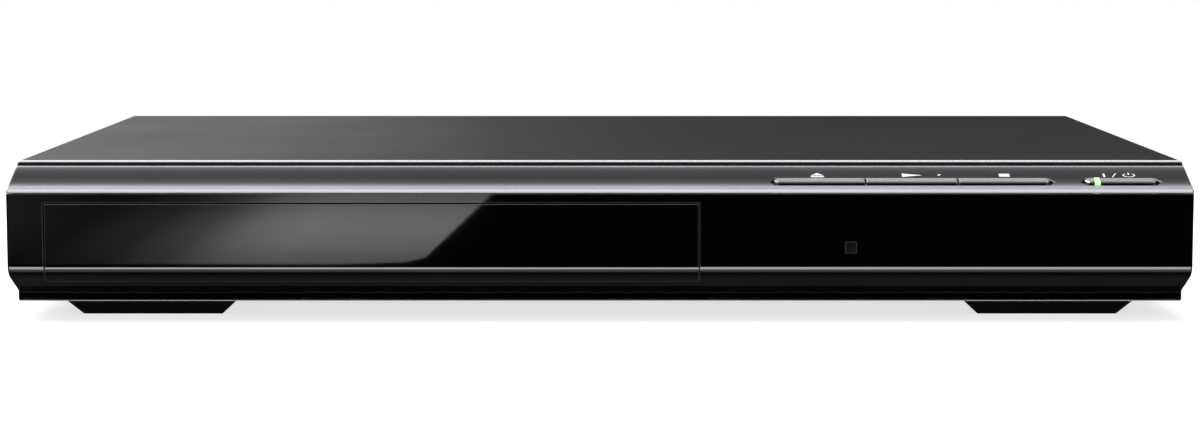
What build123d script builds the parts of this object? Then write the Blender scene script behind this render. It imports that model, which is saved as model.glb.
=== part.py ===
from build123d import *
import os
from math import acos, atan2, cos, degrees, hypot, pi, radians, sin, tan

# Slim table-top disc player with a motor-driven tray.
# Millimetres. +Z is up, the face looks along -Y, the origin lies on the floor under the middle.

os.makedirs("parts", exist_ok=True)

# ---- casing ----
body_width = 320.0
body_depth = 200.7        # from the face to the rear edge of the cover
body_height = 38.7        # from the underside of the pan to the top of the cover
foot_height = 4.8
sheet = 0.8               # steel sheet of the pan, the cover and the rear panel
seat = 0.2                # gap between fixed pieces that rest on each other
play = 0.3                # gap round anything that moves
fit = 0.05                # gap all round a shaft in its bore
tiny = 0.1                # reach when edges are picked by their place
screw_sides = 6           # sides of small round features that lie out of sight
peg_sides = 8
drum_sides = 16           # sides of larger ones
ring_sides = 24           # sides of the gland
cover_fold = 1.4          # outer radius of the cover's long folds
cover_lip = 1.6           # height of the cover's front fold
cover_lip_round = 0.7
cover_tail = 9.0          # height of the cover's rear fold
pan_wall = 10.0           # height of the pan's side flanges
rear_foot_fold = 9.0      # foot of the rear panel on the pan

# ---- front moulding and strip ----
panel_depth = 15.2
panel_wall = 2.4
strip_drop = 1.4          # the strip's upper edge lies this far below the cover
strip_depth = 14.0
strip_fall = 21.1         # degrees
strip_wall = 1.8
strip_leg = 3.4           # height of the strip's rear leg
nose_radius = 1.2
face_rise = 11.07         # from the underside of the pan up to the end of the face
lip_crease = 12.0         # degrees that the lip leans back where the face ends
lip_turn = 53.0           # degrees that the lip turns on from there
lip_radius = 4.8
under_depth = 14.0        # where the slope under the lip ends
end_round = 0.6           # round on the ends of the face and the strip
flange_wall = 2.0
hook_width = 12.0
hook_reach = 9.0
hook_wall = 1.6
hook_insets = (50.0, 40.0)      # outer hooks, from the ends of the casing
hook_offset = 41.6              # third hook, from the middle of the tray

# ---- tray door ----
door_width = 176.6
door_inset = 10.1         # from the end of the face to the door
door_drop = 2.85          # from the top of the face to the door
door_wall = 2.4
door_foot = 5.0           # depth at which the door ends under the lip
door_gap = 0.3
door_corner = 1.8
door_edge = 0.2
pocket_depth = 5.4
pocket_wall = 1.8

# ---- front controls ----
slot_depth_low = 2.9      # the slots in the strip, as depths behind the face
slot_depth_high = 6.7
slot_point = 1.5          # length of the pointed slot ends
button_point = 0.95       # and of the pointed button ends
slot_chamfer = 0.25
button_rise = 0.4
button_span = 2.7         # size of a button along the slope
button_gap = 0.55         # between neighbouring buttons
button_end_gap = 1.2      # between a slot's tip and the button
button_chamfer = 0.3
button_travel = 0.5
row_width = 77.1          # three-button slot, tip to tip
row_end = 37.0            # from its right tip to the end of the strip
power_width = 21.8        # power slot, tip to tip
power_end = 8.1
button_flange = 1.0
plunger_radius = 1.3
plunger_length = 2.0
switch_size = 6.0
switch_height = 3.2
switch_button = 0.8       # height of the moving top of a switch
light_from_tip = 3.8      # power light, from the slot's tip
light_width = 1.4
board_thickness = 1.6
front_board_low = 4.5
front_board_high = 8.0
rib_wall = 2.0
rib_drop = 6.0
window_size = 2.9
window_offset = 21.8      # from the left tip of the three-button slot
window_height = 5.3       # centre above the lower end of the face
window_depth = 0.8
receiver_size = (6.0, 4.6, 8.0)
leg_pitch = 1.9
leg_width = 0.5
lamp_radius = 1.5
ribbon_end = 48.0         # from the right end of the casing
ribbon_width = 12.0
ribbon_thickness = 0.5
ribbon_drop = 5.0

# ---- feet ----
foot_width = 49.6
foot_depth = 18.0
foot_flange = 0.5
foot_shoulder = 0.9       # from the flange's edge to the trapezoid
foot_slope = 4.6          # narrowing of the trapezoid on each side
foot_inset = 10.7
foot_front = 20.0         # depth of the front feet behind the face
foot_rear_gap = 16.0      # from the rear feet to the rear panel
peg_radius = 2.0
peg_height = 2.6

# ---- disc and tray ----
disc_radius = 60.0
small_disc_radius = 40.0
disc_play = 0.8
spindle_depth = 72.0      # spindle axis behind the face
tray_level = 27.5         # height of the tray's rim
tray_height = 5.2
tray_width = 148.0
tray_rear_gap = 22.7      # from the tray to the rear edge of the cover
tray_skin = 1.8
tray_wall = 2.2
tray_corner = 6.0
seat_depth = 2.5          # 12 cm recess under the rim
small_seat_depth = 3.7    # 8 cm recess under the rim
slot_half = 20.0          # half width of the opening for the turntable and the pickup
finger_radius = 14.0
tray_travel = 133.0
tongue_width = 2.5        # tongues that run in the guides
tongue_height = 2.0
stand_height = 8.0        # front wall that carries the door
stand_wall = 2.2
mouth_play = 3.5          # gap beside the tray in the mouth
mouth_headroom = 4.7
rack_height = 3.0
rack_line = 12.0          # pitch line from the tray's side
rack_back = 4.5
rack_spare = 6.0

# ---- loading gears ----
pressure = radians(20)
addendum = 0.9
dedendum = 1.2
rack_module = 1.0
rack_pinion_teeth = 14
wheel_module = 0.7
wheel_teeth = 48
pulley_pinion_teeth = 12
backlash = 0.24
wheel_thickness = 2.7
wheel_level = 1.2         # gap from the deck up to the wheel
drive_depth = 36.5        # axis of the drive gear behind the face
pulley_bearing = -11.0    # degrees, direction from the drive gear to the pulley gear
pulley_radius = 12.0
pulley_thickness = 2.4
pulley_groove = 0.6
gear_pin_radius = 1.5
motor_pulley_radius = 3.5
belt_span = 34.0          # from the pulley gear's axis to the motor's
belt_size = 1.1
motor_radius = 11.0
motor_height = 9.6
motor_shaft_radius = 1.0
ring_wall = 1.4
ring_lip = 1.2

# ---- loader frame ----
deck_gap = 7.4            # space between the pan and the deck
deck_thickness = 1.5
guide_wall = 4.4
guide_height = 4.2        # guides above the tray's rim
guide_front = 17.5        # front end behind the face
stop_wall = 2.0
post_radius = 3.5
post_inset = 7.6
post_margin = 5.0
screw_radius = 1.2
screw_head_radius = 2.4
screw_head_height = 1.6
screw_length = 6.4        # shank of a short screw

# ---- clamp ----
bridge_thickness = 1.2
bridge_width = 34.0
bridge_bore = 11.0
clamp_radius = 15.0
clamp_flange = 1.6
clamp_gap = 0.4
clamp_hub = 10.0
clamp_top_radius = 13.5
clamp_top = 1.2
clamp_lift = 0.5          # the upper flange floats this far over the bridge
magnet_radius = 7.0
magnet_height = 3.4

# ---- traverse ----
traverse_tilt = 3.4       # degrees from playing down to loading
traverse_plate = 2.0
traverse_level = 12.7     # underside of the plate
traverse_rim = 3.2
traverse_rim_wall = 1.6
traverse_front = 19.5     # from the spindle to the front edge
pivot_room = 1.0          # from the end of the pickup window to the tilting axis
traverse_tail = 6.5       # from the tilting axis to the rear edge
pivot_height = 15.5
pivot_radius = 2.0
pivot_ear_gap = 2.2
ear_wall = 3.0
ear_size = 12.0
bush_radius = 3.9
cam_pin_radius = 1.5
cam_pin_height = 18.0
cam_pin_x = 14.0          # from the spindle
cam_pin_length = 7.3
cam_thickness = 2.5
cam_travel = 24.0
cam_gap = 4.5             # from the traverse to the cam slider
cam_wall = 2.4
cam_shelf = 5.0
shelf_gap = 1.5           # from the motor cup to the shelf
window_margin = 2.0       # deck opening round the traverse

# ---- spindle and turntable ----
stator_radius = 11.0
stator_height = 6.5
stator_base = 0.8
base_width = 34.0
base_depth = 26.0
boss_radius = 5.0
turntable_radius = 13.0
turntable_level = 1.0     # playing face under the tray's rim
turntable_flange = 1.5
mat_thickness = 0.4
mat_inner = 9.5
cone_height = 2.0
cone_radius = 7.3
cone_tip = 6.0
shaft_radius = 1.0

# ---- pickup ----
rod_radius = 1.5
rod_spacing = 54.0
rod_height = 16.5
rod_block = 2.0
rod_block_width = 7.0
rod_block_wall = 1.0
sled_front = 15.0         # from the spindle to the sled
sled_length = 27.0
sled_shoulder = 5.0       # from the side of the sled to the guide rod beside it
sled_bottom = 11.5
sled_height = 9.0
sled_travel = 34.0
sled_room = 1.0           # gap at both ends of the travel
sled_hollow = 16.7        # radius of the sled's hollow round the turntable
lug_length = 7.0
lug_wall = 1.7
lug_inset = 1.0
lens_from_front = 9.0
actuator_width = 16.0
actuator_length = 13.0
actuator_height = 3.1
actuator_shift = 2.0      # the actuator sits this far behind the lens
lens_radius = 2.4
lens_height = 1.0
window_shoulder = 4.5     # from a guide rod to the side of the pickup window
screw_gap = 9.5           # from the right guide rod to the lead screw
screw_shoulder = 5.5      # from the lead screw to the side of the traverse
sled_motor_radius = 4.4
sled_motor_length = 13.0
nut_length = 6.0

# ---- boards and rear ----
standoff_height = 5.0
standoff_radius = 3.0
board_gap = 16.9          # from the loader to the boards
board_inset = 10.0        # from the boards to the right side of the casing
power_board_front = 24.0
power_board_rear = 98.0
main_board_front = 104.0
board_screw_margin = 5.0
transformer_size = (34.0, 28.0, 22.0)
transformer_inset = 27.0  # from the left edge of the power board
capacitor_radius = 9.0
capacitor_height = 22.0
capacitor_inset = 28.0    # from the right edge of the power board
small_capacitor_radius = 4.0
small_capacitor_height = 11.0
small_capacitor_count = 3
small_capacitor_inset = (12.0, 14.0)    # first one, from the left and the front edge
small_capacitor_pitch = 10.0
sink_size = (42.0, 3.0, 20.0)
sink_inset = (36.0, 12.0)               # from the right and the rear edge
fuse_radius = 2.5
fuse_length = 20.0
fuse_inset = (14.0, 14.0)               # from the right and the front edge
chip_size = (22.0, 22.0, 1.6)
chip_inset = (34.0, 26.0)               # from the left and the front edge of the main board
jack_reach = 8.3          # how far the jacks stand out behind the cover
jack_radius = 4.15
jack_bore = 3.3
contact_bore = 1.6
contact_depth = 7.0
jack_pitch = 14.0
jack_inset = 24.0         # last jack, from the right edge of the board
jack_counts = (1, 3, 3)
jack_height = 8.0         # axis above the board
jack_block_depth = 13.0
jack_block_height = 15.0
jack_collar = 5.2         # collars of the blocks, in the holes of the rear panel
jack_hole_gap = 0.45
gland_inset = 14.0        # from the right side of the casing
gland_drop = 17.5         # below the top of the cover
gland_bore = 3.0
gland_neck = 5.2
gland_radius = 6.0
gland_flange = 7.6
gland_flange_wall = 1.6
gland_tail = 4.0
cover_screw_inset = 20.0  # from the sides of the casing
cover_screw_drop = 5.0

# ---- heights and planes worked out from the sizes ----
half = body_width / 2
front = -(body_depth + jack_reach) / 2
back = front + body_depth
top = foot_height + body_height
pan_top = foot_height + sheet

switch_gap = button_travel + tiny   # a press ends just short of its switch
strip_top = top - strip_drop
fall = radians(strip_fall)
nose_corner = strip_top - strip_depth * tan(fall)
nose_run = nose_radius * tan((pi / 2 - fall) / 2)
face_top = nose_corner - nose_run
face_bottom = foot_height + face_rise
crease = radians(lip_crease)
lip_end = crease + radians(lip_turn)
under_angle = pi / 2 - lip_end
lip_depth = lip_radius * (cos(crease) - cos(lip_end))
lip_bottom = face_bottom - lip_radius * (sin(lip_end) - sin(crease))

door_left = -half + door_inset
door_right = door_left + door_width
door_top = face_top - door_drop
tray_x = (door_left + door_right) / 2
spindle_y = front + spindle_depth
spindle = (tray_x, spindle_y)
tray_end = body_depth - tray_rear_gap
row_left = half - row_end - row_width
power_left = half - power_end - power_width
window_x = row_left + window_offset
ribbon_x = half - ribbon_end
hook_places = (-half + hook_insets[0], tray_x + hook_offset, half - hook_insets[1])
cover_screw_places = (-half + cover_screw_inset, 0, half - cover_screw_inset)

tray_bottom = tray_level - tray_height
disc_seat = tray_level - seat_depth
small_seat = tray_level - small_seat_depth
tray_half = tray_width / 2
tray_rear = front + tray_end
rack_bottom = tray_bottom - rack_height
rack_x = tray_x - tray_half + rack_line
tray_front = front + door_wall

deck = pan_top + deck_gap
deck_top = deck + deck_thickness
guide_half = tray_half + play + guide_wall
guide_top = tray_level + guide_height
frame_front = front + guide_front
frame_rear = tray_rear + play + stop_wall

rack_pinion_radius = rack_pinion_teeth * rack_module / 2
wheel_radius = wheel_teeth * wheel_module / 2
pulley_pinion_radius = pulley_pinion_teeth * wheel_module / 2
drive_x = rack_x + rack_pinion_radius
drive_y = front + drive_depth
gear_reach = wheel_radius + pulley_pinion_radius
pulley_x = drive_x + gear_reach * cos(radians(pulley_bearing))
pulley_y = drive_y + gear_reach * sin(radians(pulley_bearing))
motor_x = pulley_x + belt_span
motor_y = pulley_y
wheel_bottom = deck_top + wheel_level
wheel_top = wheel_bottom + wheel_thickness
upper_gear_top = tray_bottom - play
pulley_bottom = upper_gear_top - pulley_thickness

traverse_top = traverse_level + traverse_plate
pivot_reach = sled_front + sled_length + sled_travel + sled_room + pivot_room
traverse_rear = pivot_reach + traverse_tail
screw_offset = rod_spacing / 2 + screw_gap
traverse_half = screw_offset + screw_shoulder
window_half = rod_spacing / 2 + window_shoulder
sled_half = rod_spacing / 2 - sled_shoulder
pivot_y = spindle_y + pivot_reach
cam_pin_world = tray_x + cam_pin_x
play_face = tray_level - turntable_level
bridge_level = guide_top + seat
clamp_bottom = play_face + clamp_gap
clamp_flange_top = bridge_level + bridge_thickness + clamp_lift

board_left = tray_x + guide_half + board_gap
board_right = half - board_inset
jack_first = board_right - jack_inset - jack_pitch * (sum(jack_counts) - 1)
gland_x = half - gland_inset
gland_height = top - gland_drop
board_level = pan_top + standoff_height
board_top = board_level + board_thickness
rear_outer = back - sheet - seat
rear_inner = rear_outer - sheet
main_board_rear = rear_inner - seat - front


def keep(piece, name):
    # label a finished piece and write it under its own name
    piece.part.label = name
    export_step(piece.part, f"parts/{name}.step")


def depth(distance):
    # Y of a point that lies this far behind the face
    return front + distance


def slope_height(distance, below=0.0):
    # height of the strip's surface, or of a layer below it, at a depth behind the face
    return nose_corner + distance * tan(fall) - below / cos(fall)


def under_height(distance, above=0.0):
    # height of the slope under the lip, or of a layer above it
    return lip_bottom - (distance - lip_depth) * tan(under_angle) + above / cos(under_angle)


def block(low, high):
    # a box between two corners, added to the open part
    middle = [(a + b) / 2 for a, b in zip(low, high)]
    with Locations(tuple(middle)):
        Box(*(b - a for a, b in zip(low, high)))


def cut(low, high):
    # a box between two corners, taken out of the open part
    middle = [(a + b) / 2 for a, b in zip(low, high)]
    with Locations(tuple(middle)):
        Box(*(b - a for a, b in zip(low, high)), mode=Mode.SUBTRACT)


def pin(centre, low, high, radius, mode=Mode.ADD):
    # an upright cylinder between two heights
    with Locations((centre[0], centre[1], (low + high) / 2)):
        Cylinder(radius, high - low, mode=mode)


def peg(centre, low, high, radius, mode=Mode.ADD, sides=peg_sides):
    # an upright pin or hole with flat sides
    turns = [2 * pi * side / sides for side in range(sides)]
    corners = [(centre[0] + radius * cos(a), centre[1] + radius * sin(a), low) for a in turns]
    extrude(Face(Wire.make_polygon(corners)), amount=high - low, dir=(0, 0, 1), mode=mode)


def gear_points(teeth, module, shift):
    # outline of a spur gear, four points for each tooth, turned by shift degrees
    pitch = teeth * module / 2
    base = pitch * cos(pressure)
    radii = [pitch - dedendum * module, pitch + addendum * module]

    def half_angle(radius):
        lean = acos(min(1.0, base / radius))
        width = (pi * module / 2 - backlash) / (2 * pitch)
        return width + tan(pressure) - pressure - tan(lean) + lean

    points = []
    for tooth in range(teeth):
        middle = radians(shift) + 2 * pi * tooth / teeth
        sides = [(r, middle - half_angle(r)) for r in radii]
        sides += [(r, middle + half_angle(r)) for r in reversed(radii)]
        points += [(r * cos(a), r * sin(a)) for r, a in sides]
    return points


def rack_points(first, last, phase):
    # comb of rack teeth between two Y values, with one tooth centred on phase
    pitch = pi * rack_module
    width = (pitch / 2 - backlash) / 2
    tip = rack_x + addendum * rack_module
    root = rack_x - dedendum * rack_module
    tip_half = width - addendum * rack_module * tan(pressure)
    root_half = width + dedendum * rack_module * tan(pressure)
    points = [(rack_x - rack_back, first)]
    points.append((root, first))
    start = phase - int((phase - first) / pitch) * pitch
    count = int((last - start) / pitch)
    for tooth in range(1, count):
        y = start + tooth * pitch
        points.append((root, y - root_half))
        points.append((tip, y - tip_half))
        points.append((tip, y + tip_half))
        points.append((root, y + root_half))
    points.append((root, last))
    points.append((rack_x - rack_back, last))
    return points


# ============ casing ============

def panel_outline():
    # end view of the front moulding: face, lip, slope under it and foot
    with BuildLine() as outline:
        face = Line((depth(0), face_top - seat), (depth(0), face_bottom))
        lip = JernArc(face @ 1, (sin(crease), -cos(crease)), lip_radius, lip_turn)
        slope = Line(lip @ 1, (depth(under_depth), under_height(under_depth)))
        drop = Line(slope @ 1, (depth(under_depth), foot_height))
        base = Line(drop @ 1, (depth(panel_depth), foot_height))
        rear = Line(base @ 1, (depth(panel_depth), face_top - seat))
        Line(rear @ 1, face @ 0)
    return outline.line


def cavity_outline(start, ceiling):
    # end view of the hollow behind the face, with its wall starting at a depth
    Polygon(
        (depth(start), ceiling),
        (depth(start), under_height(start, panel_wall)),
        (depth(panel_depth + 1), under_height(panel_depth + 1, panel_wall)),
        (depth(panel_depth + 1), ceiling),
    )


pocket_left = door_left - door_gap
pocket_right = door_right + door_gap
pocket_top = door_top + door_gap
pocket_bottom = under_height(door_foot + door_gap)
panel_top = face_top - seat
mouth_bottom = rack_bottom - play
mouth_top = tray_level + mouth_headroom
mouth_half = tray_half + mouth_play

flange_below = strip_wall + play
switch_below = flange_below + button_flange + plunger_length + switch_gap
front_board_below = switch_below + switch_height
rib_below = front_board_below + board_thickness + seat
rib_places = (
    row_left + rib_wall,
    (row_left + row_width + power_left) / 2,
    power_left + power_width - rib_wall,
)

with BuildPart() as front_panel:
    with BuildSketch(Plane.YZ.offset(-half)):
        make_face(panel_outline())
    extrude(amount=body_width)
    ends = front_panel.faces().filter_by(Axis.X)
    rounded = ends.edges().filter_by(lambda e: e.center().Y < depth(under_depth) - tiny)
    fillet(rounded.filter_by(lambda e: e.center().Z < panel_top - tiny), end_round)
    bottom_corners = front_panel.edges().filter_by(Axis.Y).group_by(Axis.Z)[0]
    fillet(bottom_corners, end_round)
    for low, high, start, ceiling in (
        (-half + panel_wall, pocket_left - pocket_wall, panel_wall, panel_top - flange_wall),
        (pocket_left, pocket_right, pocket_depth + pocket_wall, panel_top - flange_wall),
        (pocket_right + pocket_wall, half - panel_wall, panel_wall, panel_top + 1),
    ):
        with BuildSketch(Plane.YZ.offset(low)):
            cavity_outline(start, ceiling)
        extrude(amount=high - low, mode=Mode.SUBTRACT)
    # pocket for the door, rounded at its upper corners
    with BuildSketch(Plane.XZ.offset(-depth(pocket_depth))):
        with BuildLine():
            Polyline(
                (pocket_left, pocket_bottom),
                (pocket_left, pocket_top),
                (pocket_right, pocket_top),
                (pocket_right, pocket_bottom),
                close=True,
            )
        make_face()
        upper = [v for v in vertices() if v.Z > face_bottom]
        fillet(upper, door_corner + door_gap)
    extrude(amount=pocket_depth + 1, mode=Mode.SUBTRACT)
    cut((tray_x - mouth_half, depth(0), mouth_bottom),
        (tray_x + mouth_half, depth(panel_depth), mouth_top))
    # recess of the receiver window
    cut((window_x - window_size / 2, depth(-1), face_bottom + window_height - window_size / 2),
        (window_x + window_size / 2, depth(window_depth), face_bottom + window_height + window_size / 2))
    # ribs that carry the front board
    for x in rib_places:
        with BuildSketch(Plane.YZ.offset(x - rib_wall / 2)):
            near = panel_wall - seat
            far = panel_depth - play
            Polygon(
                (depth(near), slope_height(near, rib_below)),
                (depth(far), slope_height(far, rib_below)),
                (depth(far), slope_height(far, rib_below) - rib_wall),
                (depth(near), slope_height(near, rib_below) - rib_drop),
            )
        extrude(amount=rib_wall)
    # hooks that hold the moulding on the pan
    for x in hook_places:
        block((x - hook_width / 2, depth((under_depth + panel_depth) / 2), pan_top + seat),
              (x + hook_width / 2, depth(panel_depth + hook_reach), pan_top + seat + hook_wall))
keep(front_panel, "front_panel")

with BuildPart() as receiver_window:
    reach = window_size / 2 - fit
    block((window_x - reach, depth(0), face_bottom + window_height - reach),
          (window_x + reach, depth(window_depth), face_bottom + window_height + reach))
keep(receiver_window, "receiver_window")

with BuildPart() as tray_door:
    with BuildSketch(Plane.YZ.offset(door_left)):
        make_face(panel_outline())
    extrude(amount=door_width)
    with BuildSketch(Plane.XZ.offset(-depth(door_foot))):
        with BuildLine():
            Polyline(
                (door_left, under_height(door_foot)),
                (door_left, door_top),
                (door_right, door_top),
                (door_right, under_height(door_foot)),
                close=True,
            )
        make_face()
        upper = [v for v in vertices() if v.Z > face_bottom]
        fillet(upper, door_corner)
    extrude(amount=door_foot + 1, mode=Mode.INTERSECT)
    inner_foot = under_height(door_foot, door_wall)
    cut((door_left, depth(door_wall), inner_foot), (door_right, depth(door_foot), top))
    face_edges = tray_door.faces().sort_by(Axis.Y)[0].edges()
    chamfer(face_edges.filter_by(lambda e: e.center().Z > face_bottom + tiny), door_edge)
keep(tray_door, "tray_door")


# ---- metallic strip ----

def strip_outline():
    # end view of the strip: nose, slope, rear and base
    with BuildLine() as outline:
        slope = Line((depth(nose_run * cos(fall)), slope_height(nose_run * cos(fall))),
                     (depth(strip_depth), strip_top))
        rear = Line(slope @ 1, (depth(strip_depth), face_top))
        base = Line(rear @ 1, (depth(0), face_top))
        JernArc(base @ 1, (0, 1), nose_radius, -(90 - strip_fall))
    return outline.line


def strip_plane(below=0.0):
    # plane on the slope, or a layer below it, centred on the slots
    middle = (slot_depth_low + slot_depth_high) / 2
    origin = (0, depth(middle + below * sin(fall)), slope_height(middle) - below * cos(fall))
    return Plane(origin=origin, x_dir=(1, 0, 0), z_dir=(0, -sin(fall), cos(fall)))


slot_span = (slot_depth_high - slot_depth_low) / cos(fall)


def slot_outline(left, width):
    # slot with pointed ends
    right = left + width
    Polygon(
        (left, 0),
        (left + slot_point, slot_span / 2),
        (right - slot_point, slot_span / 2),
        (right, 0),
        (right - slot_point, -slot_span / 2),
        (left + slot_point, -slot_span / 2),
    )


with BuildPart() as trim_strip:
    with BuildSketch(Plane.YZ.offset(-half)):
        make_face(strip_outline())
    extrude(amount=body_width)
    ends = trim_strip.faces().filter_by(Axis.X)
    fillet(ends.edges().filter_by(lambda e: e.center().Z > face_top + tiny
                                  and e.center().Y < depth(strip_depth) - tiny), end_round)
    inner = strip_depth - strip_wall
    with BuildSketch(Plane.YZ.offset(-half + panel_wall)):
        Polygon(
            (depth(strip_wall), face_top - 1),
            (depth(strip_wall), slope_height(strip_wall, strip_wall)),
            (depth(inner), slope_height(inner, strip_wall)),
            (depth(inner), strip_top - strip_leg),
            (depth(strip_depth + 1), strip_top - strip_leg),
            (depth(strip_depth + 1), face_top - 1),
        )
    extrude(amount=body_width - 2 * panel_wall, mode=Mode.SUBTRACT)
    for slot_left, slot_width in ((row_left, row_width), (power_left, power_width)):
        with BuildSketch(strip_plane(strip_wall + 1)):
            slot_outline(slot_left, slot_width)
        extrude(amount=strip_wall + 2, mode=Mode.SUBTRACT)
    rims = trim_strip.edges().filter_by(
        lambda e: row_left - tiny < e.center().X < power_left + power_width + tiny)
    rims = rims.filter_by(lambda e: abs(e.center().Z - slope_height(e.center().Y - front)) < tiny / 2)
    rims = rims.filter_by(
        lambda e: depth(slot_depth_low - tiny) < e.center().Y < depth(slot_depth_high + tiny))
    chamfer(rims, slot_chamfer)
keep(trim_strip, "trim_strip")

# ---- buttons in the strip ----
button_low = slot_span / 2 - play - button_span
button_high = slot_span / 2 - play
button_middle = (button_low + button_high) / 2
button_width = (row_width - 2 * button_end_gap - 2 * button_gap) / 3


def cap_points(left, right, bevel_left, bevel_right):
    # cap outline with a pointed end only where a bevel is given
    points = [(left + bevel_left, button_high), (right - bevel_right, button_high)]
    if bevel_right:
        points.append((right, button_middle))
    points.append((right - bevel_right, button_low))
    points.append((left + bevel_left, button_low))
    if bevel_left:
        points.append((left, button_middle))
    return points


def button(left, right, bevel_left, bevel_right, light=None):
    # cap through the slot, flange behind the strip and plunger over its switch;
    # light is the middle of a gap through the cap
    with BuildPart() as piece:
        with BuildSketch(strip_plane(flange_below)):
            Polygon(*cap_points(left, right, bevel_left, bevel_right))
        extrude(amount=flange_below + button_rise)
        lid = piece.faces().sort_by(Axis.Z)[-1]
        chamfer(lid.edges(), button_chamfer)
        with BuildSketch(strip_plane(flange_below + button_flange)):
            with Locations(((left + right) / 2, 0)):
                Rectangle(right - left, slot_span + 2 * button_flange)
        extrude(amount=button_flange)
        with BuildSketch(strip_plane(flange_below + button_flange + plunger_length)):
            with Locations(((left + right) / 2, 0)):
                RegularPolygon(plunger_radius, peg_sides)
        extrude(amount=plunger_length)
        if light is not None:
            with BuildSketch(strip_plane(flange_below)):
                with Locations((light, 0)):
                    Rectangle(light_width + 2 * fit, slot_span)
            extrude(amount=flange_below + button_rise + 1, mode=Mode.SUBTRACT)
    return piece


button_places = []
for place in range(3):
    button_left = row_left + button_end_gap + place * (button_width + button_gap)
    button_places.append((button_left, button_left + button_width))
button_places.append((power_left + button_end_gap, power_left + power_width - button_end_gap))

eject_button = button(*button_places[0], button_point, 0)
keep(eject_button, "eject_button")
play_button = button(*button_places[1], 0, 0)
keep(play_button, "play_button")
stop_button = button(*button_places[2], 0, button_point)
keep(stop_button, "stop_button")

light_left = power_left + light_from_tip
light_middle = light_left + light_width / 2
power_button = button(*button_places[3], button_point, button_point, light_middle)
keep(power_button, "power_button")

with BuildPart() as power_light:
    with BuildSketch(strip_plane(flange_below)):
        with Locations((light_middle, 0)):
            Rectangle(light_width, slot_span - 2 * play)
    extrude(amount=flange_below + button_rise)
keep(power_light, "power_light")


# ---- pan, cover and rear panel ----
pan_front = depth(panel_depth) + seat
pan_half = half - sheet - play
post_places = [
    (tray_x + side * (guide_half - post_inset), y)
    for side in (-1, 1)
    for y in (frame_front + post_margin, frame_rear - post_margin)
]
power_places = [
    (x, y)
    for x in (board_left + board_screw_margin, board_right - board_screw_margin)
    for y in (depth(power_board_front) + board_screw_margin, depth(power_board_rear) - board_screw_margin)
]
main_places = [
    (x, y)
    for x in (board_left + board_screw_margin, board_right - board_screw_margin)
    for y in (depth(main_board_front) + board_screw_margin,
              depth(main_board_rear) - jack_block_depth - board_screw_margin)
]
foot_x = half - foot_inset - foot_width / 2
foot_rows = (depth(foot_front) + foot_depth / 2, rear_inner - foot_rear_gap - foot_depth / 2)
foot_places = [(x, y) for y in foot_rows for x in (-foot_x, foot_x)]

with BuildPart() as pan:
    block((-pan_half, pan_front, foot_height), (pan_half, rear_inner - seat, pan_top + pan_wall))
    long_folds = pan.edges().filter_by(Axis.Y).group_by(Axis.Z)[0]
    fillet(long_folds, cover_fold)
    cut((-pan_half + sheet, pan_front - 1, pan_top), (pan_half - sheet, rear_inner, top))
    for centre in power_places + main_places:
        peg(centre, pan_top, board_level, standoff_radius)
        peg(centre, foot_height, board_level, screw_radius + fit, Mode.SUBTRACT, screw_sides)
    for centre in post_places:
        peg(centre, foot_height, pan_top, screw_radius + fit, Mode.SUBTRACT, screw_sides)
    for centre in foot_places:
        peg(centre, foot_height, pan_top, peg_radius + seat, Mode.SUBTRACT)
keep(pan, "pan")

foot_names = ("foot_front_left", "foot_front_right", "foot_rear_left", "foot_rear_right")
for name, (x, y) in zip(foot_names, foot_places):
    with BuildPart() as foot:
        block((x - foot_width / 2, y - foot_depth / 2, foot_height - foot_flange),
              (x + foot_width / 2, y + foot_depth / 2, foot_height))
        with BuildSketch(Plane.XY.offset(foot_height - foot_flange)):
            with Locations((x, y)):
                Rectangle(foot_width - 2 * foot_shoulder, foot_depth - 2 * foot_shoulder)
        with BuildSketch(Plane.XY):
            with Locations((x, y)):
                Rectangle(foot_width - 2 * foot_shoulder - 2 * foot_slope,
                          foot_depth - 2 * foot_shoulder - foot_slope)
        loft(ruled=True)
        peg((x, y), foot_height, foot_height + peg_height, peg_radius)
    keep(foot, name)

cover_front = depth(panel_depth) + seat


def on_rear(x, z, y=rear_outer):
    # upright plane with its normal to the rear
    return Plane(origin=(x, y, z), x_dir=(-1, 0, 0), z_dir=(0, 1, 0))


with BuildPart() as top_cover:
    block((-half, cover_front, foot_height + seat), (half, back, top))
    fillet(top_cover.edges().filter_by(Axis.Y).group_by(Axis.Z)[-1], cover_fold)
    fillet(top_cover.edges().filter_by(Axis.X).group_by(Axis.Z)[-1].sort_by(Axis.Y)[0], cover_lip_round)
    with BuildSketch(Plane.XZ.offset(-cover_front)):
        with Locations((0, (foot_height + top - sheet) / 2)):
            Rectangle(body_width - 2 * sheet, top - sheet - foot_height)
        fillet([v for v in vertices() if v.Y > body_height / 2], cover_fold - sheet)
    extrude(amount=-(back - sheet - cover_front), mode=Mode.SUBTRACT)
    cut((-half + sheet, back - sheet, foot_height), (half - sheet, back, top - cover_tail))
    block((-half + cover_fold, cover_front, top - cover_lip),
          (half - cover_fold, cover_front + sheet, top - sheet))
    with BuildSketch(on_rear(0, top - cover_screw_drop, back)):
        with Locations(*((-x, 0) for x in cover_screw_places)):
            RegularPolygon(screw_radius + fit, screw_sides)
    extrude(amount=-2 * sheet, mode=Mode.SUBTRACT)
keep(top_cover, "top_cover")

jack_names = ("coaxial", "component", "audio_video")
jack_axis = board_top + jack_height
jack_places = [jack_first + jack_pitch * place for place in range(sum(jack_counts))]


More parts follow.
